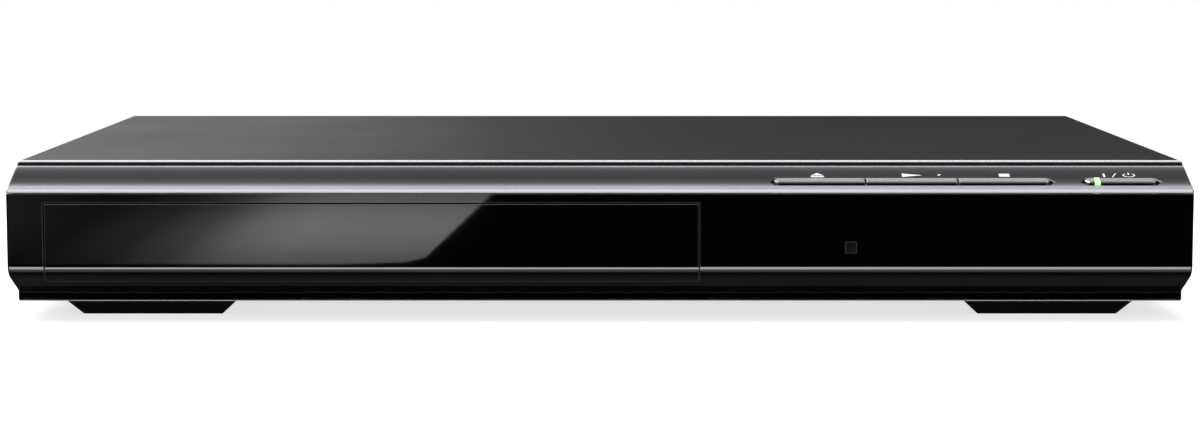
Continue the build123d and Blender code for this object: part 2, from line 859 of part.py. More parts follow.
with BuildPart() as rear_panel:
    block((-pan_half + sheet + seat, rear_inner, pan_top + seat),
          (pan_half - sheet - seat, rear_outer, top - sheet - seat))
    block((-pan_half + sheet + seat, rear_outer - rear_foot_fold, pan_top + seat),
          (board_left - board_screw_margin, rear_outer, pan_top + seat + sheet))
    for x in jack_places:
        with BuildSketch(on_rear(x, jack_axis)):
            RegularPolygon(jack_collar + jack_hole_gap, drum_sides)
        extrude(amount=-2 * sheet, mode=Mode.SUBTRACT)
    with BuildSketch(on_rear(gland_x, gland_height)):
        RegularPolygon(gland_radius + fit, ring_sides)
    extrude(amount=-2 * sheet, mode=Mode.SUBTRACT)
    for x in cover_screw_places:
        with BuildSketch(on_rear(x, top - cover_screw_drop)):
            RegularPolygon(screw_radius + fit, screw_sides)
        extrude(amount=-2 * sheet, mode=Mode.SUBTRACT)
keep(rear_panel, "rear_panel")

with BuildPart() as cover_screws:
    shank = rear_inner - back - sheet
    for radius, sides, reach in ((screw_head_radius, drum_sides, screw_head_height / 2),
                                 (screw_radius, screw_sides, shank)):
        with BuildSketch(on_rear(0, top - cover_screw_drop, back)):
            with Locations(*((-x, 0) for x in cover_screw_places)):
                RegularPolygon(radius, sides)
        extrude(amount=reach)
keep(cover_screws, "cover_screws")

with BuildPart() as cord_gland:
    with BuildSketch(on_rear(gland_x, gland_height)):
        RegularPolygon(gland_flange, ring_sides)
    extrude(amount=gland_flange_wall)
    with BuildSketch(on_rear(gland_x, gland_height)):
        RegularPolygon(gland_radius, ring_sides)
    extrude(amount=-(sheet + gland_tail))
    with BuildSketch(on_rear(gland_x, gland_height)):
        RegularPolygon(gland_neck, ring_sides)
    extrude(amount=gland_flange_wall + gland_tail)
    with BuildSketch(on_rear(gland_x, gland_height)):
        Circle(gland_bore)
    extrude(amount=2 * (gland_flange_wall + gland_tail), both=True, mode=Mode.SUBTRACT)
keep(cord_gland, "cord_gland")

jack_end = back + jack_reach
jack_start = rear_inner - seat
jack_socket = jack_block_depth / 2
done = 0
for name, count in zip(jack_names, jack_counts):
    places = jack_places[done:done + count]
    done += count
    with BuildPart() as jack_block:
        block((places[0] - jack_pitch / 2 + seat, jack_start - jack_block_depth, board_top + seat),
              (places[-1] + jack_pitch / 2 - seat, jack_start, board_top + seat + jack_block_height))
        # collars that come through the rear panel, with sockets for the inserts
        with BuildSketch(on_rear(0, jack_axis, back)):
            with Locations(*((-x, 0) for x in places)):
                RegularPolygon(jack_collar, drum_sides)
        extrude(amount=jack_start - back)
        with BuildSketch(on_rear(0, jack_axis, back)):
            with Locations(*((-x, 0) for x in places)):
                RegularPolygon(jack_bore, peg_sides)
        extrude(amount=jack_start - back - jack_socket, mode=Mode.SUBTRACT)
    keep(jack_block, f"{name}_block")

# shells that stand on the collars
with BuildPart() as jack_shells:
    with BuildSketch(on_rear(0, jack_axis, back)):
        with Locations(*((-x, 0) for x in jack_places)):
            Circle(jack_radius)
            RegularPolygon(jack_bore, peg_sides, mode=Mode.SUBTRACT)
    extrude(amount=jack_reach)
keep(jack_shells, "jack_shells")

with BuildPart() as jack_inserts:
    with BuildSketch(on_rear(0, jack_axis, jack_end - seat)):
        with Locations(*((-x, 0) for x in jack_places)):
            RegularPolygon(jack_bore - fit, peg_sides)
    extrude(amount=-(jack_end - jack_start + jack_socket - 2 * seat))
    with BuildSketch(on_rear(0, jack_axis, jack_end)):
        with Locations(*((-x, 0) for x in jack_places)):
            RegularPolygon(contact_bore, peg_sides)
    extrude(amount=-contact_depth, mode=Mode.SUBTRACT)
keep(jack_inserts, "jack_inserts")

# ============ loader ============

window_x_low = tray_x - traverse_half - window_margin
window_x_high = tray_x + traverse_half + window_margin
cam_front = spindle_y - traverse_front - cam_gap - cam_thickness
cam_rear = cam_front + cam_thickness
cam_drop = (traverse_front + cam_gap + cam_thickness / 2 + pivot_reach) * sin(radians(traverse_tilt))
cam_left = cam_pin_world - cam_travel - cam_wall - 2 * cam_pin_radius
cam_right = cam_pin_world + cam_wall + 2 * cam_pin_radius
cam_top = cam_pin_height + cam_pin_radius + cam_wall
cam_bottom = cam_pin_height - cam_drop - cam_pin_radius - cam_wall
shelf_left = motor_x + motor_radius + ring_wall + shelf_gap
bridge_places = [(tray_x + side * (guide_half - guide_wall / 2), spindle_y) for side in (-1, 1)]

with BuildPart() as loader_frame:
    block((tray_x - guide_half, frame_front, deck), (tray_x + guide_half, frame_rear, deck_top))
    # guides with a groove for the tray's tongues, in end view
    for side in (-1, 1):
        inner = tray_x + side * (tray_half + play)
        groove = tray_x + side * (tray_half + tongue_width + play)
        outer = tray_x + side * guide_half
        with BuildSketch(Plane.XZ.offset(-frame_front)):
            Polygon(
                (outer, deck),
                (inner, deck),
                (inner, tray_bottom - play),
                (groove, tray_bottom - play),
                (groove, tray_bottom + tongue_height + play),
                (inner, tray_bottom + tongue_height + play),
                (inner, guide_top),
                (outer, guide_top),
            )
        extrude(amount=-(frame_rear - frame_front))
    # stop behind the tray
    block((tray_x - guide_half, frame_rear - stop_wall, deck), (tray_x + guide_half, frame_rear, tray_level))
    # openings for the traverse and the cam slider
    cut((window_x_low, cam_front - play, deck - 1),
        (window_x_high, spindle_y + traverse_rear + window_margin, deck_top + 1))
    cut((cam_left - 2 * play, cam_front - 2 * play, deck - 1),
        (cam_right + cam_travel + 2 * play, cam_rear + 2 * play, deck_top + 1))
    # ears that hold the traverse's rubber bushes
    for side in (-1, 1):
        ear_inner = tray_x + side * (traverse_half + pivot_ear_gap)
        ear_outer = tray_x + side * (traverse_half + pivot_ear_gap + ear_wall)
        block((min(ear_inner, ear_outer), pivot_y - ear_size / 2, pivot_height - ear_size / 2),
              (max(ear_inner, ear_outer), pivot_y + ear_size / 2, pivot_height + ear_size / 2))
    with BuildSketch(Plane.YZ.offset(tray_x)):
        with Locations((pivot_y, pivot_height)):
            RegularPolygon(bush_radius + fit, peg_sides)
    extrude(amount=traverse_half + pivot_ear_gap + ear_wall + 1, both=True, mode=Mode.SUBTRACT)
    # pins and shoulders for the two gears
    for centre in ((drive_x, drive_y), (pulley_x, pulley_y)):
        peg(centre, deck_top, wheel_bottom - play, 2 * gear_pin_radius)
        pin(centre, deck_top, upper_gear_top, gear_pin_radius)
    # cup of the loading motor
    cup_top = deck_top + motor_height - deck_gap - deck_thickness + 2 * seat + ring_lip
    motor_centre = (motor_x, motor_y)
    peg(motor_centre, deck, cup_top, motor_radius + fit + ring_wall, sides=drum_sides)
    peg(motor_centre, deck - 1, cup_top - ring_lip, motor_radius + fit, Mode.SUBTRACT, drum_sides)
    peg(motor_centre, deck, cup_top + 1, motor_radius / 2, Mode.SUBTRACT)
    # posts on the pan
    for centre in post_places:
        peg(centre, pan_top, deck, post_radius)
        peg(centre, pan_top - 1, deck_top + 1, screw_radius + fit, Mode.SUBTRACT, screw_sides)
    # screw holes for the clamp bridge
    for centre in bridge_places:
        peg(centre, guide_top - screw_length, guide_top + 1, screw_radius + fit, Mode.SUBTRACT, screw_sides)
keep(loader_frame, "loader_frame")

with BuildPart() as loader_screws:
    for centre in post_places:
        peg(centre, deck_top, deck_top + screw_head_height, screw_head_radius)
        peg(centre, foot_height, deck_top, screw_radius, sides=screw_sides)
keep(loader_screws, "loader_screws")

with BuildPart() as loading_motor:
    motor_bottom = cup_top - ring_lip - motor_height
    peg(motor_centre, motor_bottom, cup_top - ring_lip, motor_radius, sides=drum_sides)
    peg(motor_centre, cup_top - ring_lip, cup_top, motor_radius / 2 - fit)
    pin(motor_centre, motor_bottom, upper_gear_top, motor_shaft_radius)
keep(loading_motor, "loading_motor")

belt_level = (pulley_bottom + upper_gear_top) / 2
groove_height = belt_size + 2 * seat
groove_bottom = belt_level - groove_height / 2

with BuildPart() as motor_pulley:
    peg(motor_centre, pulley_bottom, upper_gear_top, motor_pulley_radius, sides=drum_sides)
    with BuildSketch(Plane.XY.offset(groove_bottom)):
        with Locations(motor_centre):
            RegularPolygon(motor_pulley_radius + 1, drum_sides)
            RegularPolygon(motor_pulley_radius - pulley_groove, drum_sides, mode=Mode.SUBTRACT)
    extrude(amount=groove_height, mode=Mode.SUBTRACT)
    pin(motor_centre, pulley_bottom - 1, upper_gear_top + 1, motor_shaft_radius + fit, Mode.SUBTRACT)
keep(motor_pulley, "motor_pulley")

with BuildPart() as drive_gear:
    with BuildSketch(Plane.XY.offset(wheel_bottom)):
        with Locations((drive_x, drive_y)):
            Polygon(*gear_points(wheel_teeth, wheel_module, pulley_bearing))
    extrude(amount=wheel_thickness)
    with BuildSketch(Plane.XY.offset(wheel_top)):
        with Locations((drive_x, drive_y)):
            Polygon(*gear_points(rack_pinion_teeth, rack_module, 180 + 180 / rack_pinion_teeth))
    extrude(amount=upper_gear_top - wheel_top)
    pin((drive_x, drive_y), wheel_bottom - 1, upper_gear_top + 1, gear_pin_radius + fit, Mode.SUBTRACT)
keep(drive_gear, "drive_gear")

with BuildPart() as pulley_gear:
    mesh = pulley_bearing + 180 + 180 / pulley_pinion_teeth
    with BuildSketch(Plane.XY.offset(wheel_bottom)):
        with Locations((pulley_x, pulley_y)):
            Polygon(*gear_points(pulley_pinion_teeth, wheel_module, mesh))
    extrude(amount=pulley_bottom - wheel_bottom)
    peg((pulley_x, pulley_y), pulley_bottom, upper_gear_top, pulley_radius, sides=drum_sides)
    with BuildSketch(Plane.XY.offset(groove_bottom)):
        with Locations((pulley_x, pulley_y)):
            RegularPolygon(pulley_radius + 1, drum_sides)
            RegularPolygon(pulley_radius - pulley_groove, drum_sides, mode=Mode.SUBTRACT)
    extrude(amount=groove_height, mode=Mode.SUBTRACT)
    pin((pulley_x, pulley_y), wheel_bottom - 1, upper_gear_top + 1, gear_pin_radius + fit, Mode.SUBTRACT)
keep(pulley_gear, "pulley_gear")

# belt round both pulleys, just clear of their grooves
with BuildPart() as drive_belt:
    belt_big = pulley_radius - pulley_groove + play + belt_size / 2
    belt_small = motor_pulley_radius - pulley_groove + play + belt_size / 2
    lean = acos((belt_big - belt_small) / belt_span)
    with BuildSketch(Plane.XY.offset(belt_level - belt_size / 2)):
        for grow, mode in ((belt_size / 2, Mode.ADD), (-belt_size / 2, Mode.SUBTRACT)):
            big = belt_big + grow
            small = belt_small + grow
            with Locations((pulley_x, pulley_y)):
                RegularPolygon(big, drum_sides, mode=mode)
            with Locations(motor_centre):
                RegularPolygon(small, peg_sides, mode=mode)
            Polygon(
                (pulley_x + big * cos(lean), pulley_y + big * sin(lean)),
                (pulley_x + big * cos(lean), pulley_y - big * sin(lean)),
                (motor_x + small * cos(lean), motor_y - small * sin(lean)),
                (motor_x + small * cos(lean), motor_y + small * sin(lean)),
                mode=mode,
            )
    extrude(amount=belt_size)
keep(drive_belt, "drive_belt")

# ---- disc tray ----
with BuildPart() as tray:
    with BuildSketch(Plane.XY.offset(tray_bottom)):
        with Locations((tray_x, (tray_front + tray_rear) / 2)):
            Rectangle(tray_width, tray_rear - tray_front)
        fillet([v for v in vertices() if v.Y > 0], tray_corner)
    extrude(amount=tray_height)
    tongue_half = tray_half + tongue_width
    block((tray_x - tongue_half, frame_front, tray_bottom),
          (tray_x + tongue_half, tray_rear - tray_corner, tray_bottom + tongue_height))
    # recesses for both sizes of disc, with finger hollows at the sides
    for radius, level in ((disc_radius + disc_play, disc_seat), (small_disc_radius + disc_play, small_seat)):
        pin(spindle, level, tray_level + 1, radius, Mode.SUBTRACT)
    for side in (-1, 1):
        pin((tray_x + side * disc_radius, spindle_y), disc_seat, tray_level + 1, finger_radius, Mode.SUBTRACT)
    # underside hollow round the recess, inside the side walls and the rack's band
    with BuildSketch(Plane.XY.offset(tray_bottom)):
        left = rack_x + tray_wall / 2
        right = tray_x + tray_half - tray_wall
        near = tray_front + stand_wall
        far = tray_rear - tray_wall
        with Locations(((left + right) / 2, (near + far) / 2)):
            Rectangle(right - left, far - near)
        with Locations((tray_x, spindle_y)):
            RegularPolygon(disc_radius + disc_play + tray_wall, 2 * drum_sides, mode=Mode.SUBTRACT)
        with Locations((tray_x, (spindle_y + tray_rear) / 2)):
            Rectangle(2 * (slot_half + tray_wall), tray_rear - spindle_y, mode=Mode.SUBTRACT)
        for side in (-1, 1):
            with Locations((tray_x + side * disc_radius, spindle_y)):
                RegularPolygon(finger_radius + tray_wall, drum_sides, mode=Mode.SUBTRACT)
    extrude(amount=tray_height - tray_skin, mode=Mode.SUBTRACT)
    # opening for the turntable and the pickup, open to the rear
    pin(spindle, tray_bottom - 1, tray_level + 1, slot_half, Mode.SUBTRACT)
    cut((tray_x - slot_half, spindle_y, tray_bottom - 1), (tray_x + slot_half, tray_rear + 1, tray_level + 1))
    # wall behind the door
    block((tray_x - tray_half, tray_front, tray_level - stand_height),
          (tray_x + tray_half, tray_front + stand_wall, tray_level))
    # rack
    with BuildSketch(Plane.XY.offset(rack_bottom)):
        Polygon(*rack_points(drive_y - rack_spare, drive_y + tray_travel + rack_spare, drive_y))
    extrude(amount=rack_height)
keep(tray, "tray")

# ---- clamp ----
with BuildPart() as clamp_bridge:
    block((tray_x - guide_half, spindle_y - bridge_width / 2, bridge_level),
          (tray_x + guide_half, spindle_y + bridge_width / 2, bridge_level + bridge_thickness))
    bridge_top = bridge_level + bridge_thickness
    peg(spindle, bridge_level - 1, bridge_top + 1, bridge_bore, Mode.SUBTRACT, drum_sides)
    for centre in bridge_places:
        peg(centre, bridge_level - 1, bridge_top + 1, screw_radius + fit, Mode.SUBTRACT, screw_sides)
keep(clamp_bridge, "clamp_bridge")

with BuildPart() as clamper:
    clamp_lid = clamp_flange_top + clamp_top
    peg(spindle, clamp_bottom, clamp_bottom + clamp_flange, clamp_radius, sides=drum_sides)
    pin(spindle, clamp_bottom, clamp_flange_top, clamp_hub)
    peg(spindle, clamp_flange_top, clamp_lid, clamp_top_radius, sides=drum_sides)
    recess_top = play_face + cone_height + 2 * play
    peg(spindle, clamp_bottom - 1, recess_top, cone_radius + 1, Mode.SUBTRACT, drum_sides)
    magnet_bottom = clamp_lid - magnet_height
    peg(spindle, magnet_bottom, top, magnet_radius + fit, Mode.SUBTRACT, drum_sides)
keep(clamper, "clamper")

with BuildPart() as clamp_magnet:
    peg(spindle, magnet_bottom, clamp_lid, magnet_radius, sides=drum_sides)
keep(clamp_magnet, "clamp_magnet")

# ---- cam slider ----
with BuildPart() as cam_slider:
    block((cam_left, cam_front, cam_bottom), (cam_right, cam_rear, cam_top))
    with BuildSketch(Plane.XZ.offset(-cam_rear)):
        with Locations((cam_pin_world - cam_travel / 2, cam_pin_height - cam_drop / 2)):
            SlotCenterToCenter(
                hypot(cam_travel, cam_drop),
                2 * (cam_pin_radius + play),
                rotation=degrees(atan2(cam_drop, cam_travel)),
            )
    extrude(amount=cam_thickness, mode=Mode.SUBTRACT)
    shelf_bottom = deck_top + play
    block((shelf_left, cam_front - cam_shelf, shelf_bottom),
          (cam_right, cam_front, shelf_bottom + cam_pin_radius))
keep(cam_slider, "cam_slider")

# ============ traverse ============

traverse_y_front = spindle_y - traverse_front
traverse_y_rear = spindle_y + traverse_rear
window_front = spindle_y + sled_front - sled_room
window_rear = window_front + sled_length + sled_travel + 2 * sled_room
rod_x = (tray_x - rod_spacing / 2, tray_x + rod_spacing / 2)
rod_front = window_front - rod_block
rod_rear = window_rear + rod_block
screw_x = tray_x + screw_offset

with BuildPart() as traverse_frame:
    block((tray_x - traverse_half, traverse_y_front, traverse_level),
          (tray_x + traverse_half, traverse_y_rear, traverse_top + traverse_rim))
    fillet(traverse_frame.edges().filter_by(Axis.Z), 3 * traverse_rim_wall)
    cut((tray_x - traverse_half + traverse_rim_wall, traverse_y_front + traverse_rim_wall, traverse_top),
        (tray_x + traverse_half - traverse_rim_wall, traverse_y_rear - traverse_rim_wall, top))
    cut((tray_x - window_half, window_front, traverse_level - 1),
        (tray_x + window_half, window_rear, top))
    peg(spindle, traverse_level - 1, top, boss_radius + fit, Mode.SUBTRACT, drum_sides)
    # blocks for the guide rods and the lead screw's far end
    for x in rod_x:
        for y in (rod_front, window_rear):
            block((x - rod_block_width / 2, y, traverse_level),
                  (x + rod_block_width / 2, y + rod_block, rod_height + rod_radius + rod_block_wall))
    block((screw_x - rod_block_width / 2, window_rear, traverse_level),
          (screw_x + rod_block_width / 2, window_rear + rod_block, rod_height + rod_radius + rod_block_wall))
    for x in rod_x:
        with BuildSketch(Plane.XZ.offset(-rod_front + 1)):
            with Locations((x, rod_height)):
                RegularPolygon(rod_radius + fit, peg_sides, major_radius=False)
        extrude(amount=-(rod_rear - rod_front + 2), mode=Mode.SUBTRACT)
    with BuildSketch(Plane.XZ.offset(-window_rear + 1)):
        with Locations((screw_x, rod_height)):
            Circle(rod_radius + fit)
    extrude(amount=-(rod_block + 2), mode=Mode.SUBTRACT)
    # cradle of the sled motor
    with BuildSketch(Plane.XZ.offset(-(window_front - sled_motor_length - seat))):
        with Locations((screw_x, rod_height)):
            RegularPolygon(sled_motor_radius + fit, drum_sides)
        with Locations((screw_x, rod_height + sled_motor_radius)):
            Rectangle(2 * (sled_motor_radius + fit), 2 * sled_motor_radius)
    extrude(amount=-(sled_motor_length + 2 * seat), mode=Mode.SUBTRACT)
    # tilting pins at the rear and the cam pin in front
    with BuildSketch(Plane.YZ.offset(tray_x + traverse_half - traverse_rim_wall)):
        with Locations((pivot_y, pivot_height)):
            Circle(pivot_radius)
    extrude(amount=traverse_rim_wall + pivot_ear_gap + ear_wall)
    with BuildSketch(Plane.YZ.offset(tray_x - traverse_half + traverse_rim_wall)):
        with Locations((pivot_y, pivot_height)):
            Circle(pivot_radius)
    extrude(amount=-(traverse_rim_wall + pivot_ear_gap + ear_wall))
    block((cam_pin_world - 2 * cam_pin_radius, traverse_y_front, traverse_top),
          (cam_pin_world + 2 * cam_pin_radius, traverse_y_front + 2 * traverse_rim_wall,
           cam_pin_height + cam_pin_radius))
    with BuildSketch(Plane.XZ.offset(-traverse_y_front)):
        with Locations((cam_pin_world, cam_pin_height)):
            Circle(cam_pin_radius)
    extrude(amount=cam_pin_length)
keep(traverse_frame, "traverse_frame")

with BuildPart() as pivot_bushes:
    for side in (-1, 1):
        with BuildSketch(Plane.YZ.offset(tray_x + side * (traverse_half + pivot_ear_gap))):
            with Locations((pivot_y, pivot_height)):
                RegularPolygon(bush_radius, peg_sides)
                Circle(pivot_radius + fit, mode=Mode.SUBTRACT)
        extrude(amount=side * ear_wall)
keep(pivot_bushes, "pivot_bushes")

# ---- spindle motor and turntable ----
stator_bottom = traverse_top + stator_base
with BuildPart() as spindle_motor:
    block((tray_x - base_width / 2, spindle_y - base_depth / 2, traverse_top),
          (tray_x + base_width / 2, spindle_y + min(base_depth / 2, sled_front - 2), stator_bottom))
    peg(spindle, stator_bottom, stator_bottom + stator_height, stator_radius, sides=drum_sides)
    peg(spindle, traverse_level + play, stator_bottom, boss_radius, sides=drum_sides)
    pin(spindle, traverse_level + 2 * play, top, shaft_radius + fit, Mode.SUBTRACT)
keep(spindle_motor, "spindle_motor")

mat_bottom = play_face - mat_thickness
flange_bottom = mat_bottom - turntable_flange
with BuildPart() as turntable:
    pin(spindle, traverse_level + 3 * play, flange_bottom, shaft_radius)
    peg(spindle, stator_bottom + stator_height + play, flange_bottom, cone_radius, sides=drum_sides)
    peg(spindle, flange_bottom, mat_bottom, turntable_radius, sides=drum_sides)
    peg(spindle, mat_bottom, play_face, cone_radius, sides=drum_sides)
    with BuildSketch(Plane.XY.offset(play_face)):
        with Locations(spindle):
            RegularPolygon(cone_radius, drum_sides)
    extrude(amount=cone_height, taper=degrees(atan2(cone_radius - cone_tip, cone_height)))
keep(turntable, "turntable")

with BuildPart() as turntable_mat:
    peg(spindle, mat_bottom, play_face, turntable_radius - play, sides=drum_sides)
    peg(spindle, mat_bottom - 1, play_face + 1, mat_inner, Mode.SUBTRACT, drum_sides)
keep(turntable_mat, "turntable_mat")

# ---- guide rods, lead screw and sled ----
for name, x in zip(("guide_rod_left", "guide_rod_right"), rod_x):
    with BuildPart() as rod:
        with BuildSketch(Plane.XZ.offset(-rod_front)):
            with Locations((x, rod_height)):
                RegularPolygon(rod_radius, drum_sides)
        extrude(amount=-(rod_rear - rod_front))
    keep(rod, name)

with BuildPart() as sled_motor:
    with BuildSketch(Plane.XZ.offset(-(window_front - sled_motor_length))):
        with Locations((screw_x, rod_height)):
            RegularPolygon(sled_motor_radius, drum_sides)
            Circle(rod_radius + fit, mode=Mode.SUBTRACT)
    extrude(amount=-sled_motor_length)
keep(sled_motor, "sled_motor")

with BuildPart() as lead_screw:
    with BuildSketch(Plane.XZ.offset(-(window_front - sled_motor_length / 2))):
        with Locations((screw_x, rod_height)):
            Circle(rod_radius)
    extrude(amount=-(rod_rear - window_front + sled_motor_length / 2))
keep(lead_screw, "lead_screw")

sled_y = spindle_y + sled_front
sled_top = sled_bottom + sled_height
lens_y = sled_y + lens_from_front
actuator_y = lens_y + actuator_shift
with BuildPart() as pickup_sled:
    block((tray_x - sled_half, sled_y, sled_bottom), (tray_x + sled_half, sled_y + sled_length, sled_top))
    pin(spindle, sled_bottom - 1, sled_top + 1, sled_hollow, Mode.SUBTRACT)
    lug = rod_radius + lug_wall
    for x, ends in ((rod_x[0], (sled_y + lug_inset, sled_y + sled_length - lug_length - lug_inset)),
                    (rod_x[1], (sled_y + (sled_length - lug_length) / 2,))):
        for y in ends:
            low = min(x - lug, tray_x)
            high = max(x + lug, tray_x)
            block((low, y, rod_height - lug), (high, y + lug_length, rod_height + lug))
    # arm over the frame's rim with a half nut on the lead screw
    nut_front = sled_y + (sled_length - nut_length) / 2
    block((rod_x[1], nut_front, rod_height + rod_radius + play),
          (screw_x + lug, nut_front + nut_length, rod_height + lug))
    block((screw_x - lug, nut_front, rod_height + play),
          (screw_x + lug, nut_front + nut_length, rod_height + lug))
    for x in (*rod_x, screw_x):
        with BuildSketch(Plane.XZ.offset(-sled_y + 1)):
            with Locations((x, rod_height)):
                RegularPolygon(rod_radius + fit, peg_sides, major_radius=False)
        extrude(amount=-(sled_length + 2), mode=Mode.SUBTRACT)
keep(pickup_sled, "pickup_sled")

with BuildPart() as lens_actuator:
    block((tray_x - actuator_width / 2, actuator_y - actuator_length / 2, sled_top),
          (tray_x + actuator_width / 2, actuator_y + actuator_length / 2, sled_top + actuator_height))
keep(lens_actuator, "lens_actuator")

with BuildPart() as pickup_lens:
    lens_bottom = sled_top + actuator_height
    peg((tray_x, lens_y), lens_bottom, lens_bottom + lens_height, lens_radius, sides=drum_sides)
keep(pickup_lens, "pickup_lens")

# ============ boards ============


def board(near, far, places, name):
    # a board on its standoffs, with a hole for each screw
    with BuildPart() as piece:
        block((board_left, near, board_level), (board_right, far, board_top))
        for centre in places:
            peg(centre, board_level - 1, board_top + 1, screw_radius + fit, Mode.SUBTRACT, screw_sides)
    keep(piece, name)


board(depth(power_board_front), depth(power_board_rear), power_places, "power_board")
board(depth(main_board_front), depth(main_board_rear), main_places, "main_board")

# short screws: the boards on their standoffs and the clamp bridge on the guides
with BuildPart() as short_screws:
    heads = [(centre, board_top) for centre in power_places + main_places]
    heads += [(centre, bridge_level + bridge_thickness) for centre in bridge_places]
    for centre, level in heads:
        peg(centre, level, level + screw_head_height, screw_head_radius)
        peg(centre, level - screw_length, level, screw_radius, sides=screw_sides)
keep(short_screws, "short_screws")


def on_board(x, y, size, name):
    # a boxy component that stands on a board
    with BuildPart() as piece:
        block((x - size[0] / 2, y - size[1] / 2, board_top),
              (x + size[0] / 2, y + size[1] / 2, board_top + size[2]))
    keep(piece, name)


power_middle = depth((power_board_front + power_board_rear) / 2)
on_board(board_left + transformer_inset, power_middle, transformer_size, "transformer")
on_board(board_right - sink_inset[0], depth(power_board_rear) - sink_inset[1], sink_size, "heat_sink")
on_board(board_left + chip_inset[0], depth(main_board_front) + chip_inset[1], chip_size, "decoder_chip")

with BuildPart() as capacitors:
    x = board_right - capacitor_inset
    peg((x, power_middle), board_top, board_top + capacitor_height, capacitor_radius, sides=drum_sides)
    for place in range(small_capacitor_count):
        x = board_left + small_capacitor_inset[0] + small_capacitor_pitch * place
        y = depth(power_board_front) + small_capacitor_inset[1]
        peg((x, y), board_top, board_top + small_capacitor_height, small_capacitor_radius)
keep(capacitors, "capacitors")

with BuildPart() as fuse:
    with BuildSketch(Plane.XZ.offset(-(depth(power_board_front) + fuse_inset[1]))):
        with Locations((board_right - fuse_inset[0], board_top + fuse_radius)):
            RegularPolygon(fuse_radius, peg_sides)
    extrude(amount=-fuse_length)
keep(fuse, "fuse")

# ---- front board under the buttons ----
with BuildPart() as front_board:
    with BuildSketch(strip_plane(front_board_below + board_thickness)):
        with Locations(((row_left + power_left + power_width) / 2, (front_board_high - front_board_low) / 2)):
            Rectangle(power_left + power_width - row_left, front_board_high + front_board_low)
    extrude(amount=board_thickness)
keep(front_board, "front_board")

with BuildPart() as tact_switches:
    for left, right in button_places:
        with BuildSketch(strip_plane(front_board_below)):
            with Locations(((left + right) / 2, 0)):
                Rectangle(switch_size, switch_size)
        extrude(amount=switch_height - switch_button)
        with BuildSketch(strip_plane(front_board_below - switch_height + switch_button)):
            with Locations(((left + right) / 2, 0)):
                RegularPolygon(plunger_radius, peg_sides)
        extrude(amount=switch_button)
keep(tact_switches, "tact_switches")

with BuildPart() as power_lamp:
    lamp_below = flange_below + button_flange + play
    with BuildSketch(strip_plane(front_board_below)):
        with Locations((light_middle, 0)):
            RegularPolygon(lamp_radius, peg_sides)
    extrude(amount=front_board_below - lamp_below - switch_gap)
keep(power_lamp, "power_lamp")

with BuildPart() as remote_receiver:
    # body behind the window, hung from the front board by its legs
    receiver_rear = panel_wall + seat + receiver_size[1]
    receiver_low = face_bottom + window_height - receiver_size[2] / 2
    block((window_x - receiver_size[0] / 2, depth(panel_wall + seat), receiver_low),
          (window_x + receiver_size[0] / 2, depth(receiver_rear), receiver_low + receiver_size[2]))
    for place in (-1, 0, 1):
        x = window_x + place * leg_pitch
        block((x - leg_width / 2, depth(receiver_rear - leg_width), receiver_low + receiver_size[2]),
              (x + leg_width / 2, depth(receiver_rear),
               slope_height(receiver_rear - leg_width, front_board_below + board_thickness)))
keep(remote_receiver, "remote_receiver")

# flat cable from the front board back and down to the power board
with BuildPart() as front_ribbon:
    under = front_board_below + board_thickness
    near = panel_depth
    level = slope_height(near, under) - ribbon_drop
    with BuildSketch(Plane.YZ.offset(ribbon_x)):
        with BuildLine():
            run = Polyline(
                (depth(near - ribbon_drop), slope_height(near - ribbon_drop, under)),
                (depth(near), slope_height(near, under)),
                (depth(near + ribbon_drop), level),
                (depth(power_board_front + ribbon_drop), level),
                (depth(power_board_front + ribbon_drop), board_top),
            )
            offset(run, ribbon_thickness, side=Side.RIGHT)
        make_face()
    extrude(amount=ribbon_width)
keep(front_ribbon, "front_ribbon")
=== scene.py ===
from math import cos, radians, sin

import bmesh
import bpy
from mathutils import Matrix, Vector


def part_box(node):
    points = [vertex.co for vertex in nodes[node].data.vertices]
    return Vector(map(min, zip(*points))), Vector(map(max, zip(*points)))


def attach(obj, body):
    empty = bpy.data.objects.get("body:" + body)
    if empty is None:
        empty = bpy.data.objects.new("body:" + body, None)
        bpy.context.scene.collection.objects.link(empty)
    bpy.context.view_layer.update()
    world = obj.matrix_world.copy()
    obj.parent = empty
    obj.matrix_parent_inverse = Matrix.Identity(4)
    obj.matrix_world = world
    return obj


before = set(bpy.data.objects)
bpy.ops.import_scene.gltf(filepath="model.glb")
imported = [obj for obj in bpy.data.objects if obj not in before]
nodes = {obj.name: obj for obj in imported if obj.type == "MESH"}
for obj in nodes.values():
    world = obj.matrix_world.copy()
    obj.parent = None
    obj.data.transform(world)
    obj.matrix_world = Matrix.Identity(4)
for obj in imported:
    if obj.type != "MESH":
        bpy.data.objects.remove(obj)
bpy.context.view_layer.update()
mm = 0.001
print("frame loaded,", len(nodes), "pieces")

bpy.context.scene.view_settings.view_transform = "Standard"


# a socket that takes part in sums, so that shader maths reads as plain Python
class Wire:
    def __init__(self, bench, socket):
        self.bench = bench
        self.socket = socket

    def math(self, operation, first, second):
        return self.bench.node("ShaderNodeMath", {"operation": operation}, {0: first, 1: second})

    def __add__(self, other):
        return self.math("ADD", self, other)

    def __radd__(self, other):
        return self.math("ADD", other, self)

    def __sub__(self, other):
        return self.math("SUBTRACT", self, other)

    def __rsub__(self, other):
        return self.math("SUBTRACT", other, self)

    def __mul__(self, other):
        return self.math("MULTIPLY", self, other)

    def __rmul__(self, other):
        return self.math("MULTIPLY", other, self)

    def __truediv__(self, other):
        return self.math("DIVIDE", self, other)

    def __rtruediv__(self, other):
        return self.math("DIVIDE", other, self)

    # a noise as a swing to both sides of nothing
    def swing(self, amount):
        return (self - 0.5) * amount


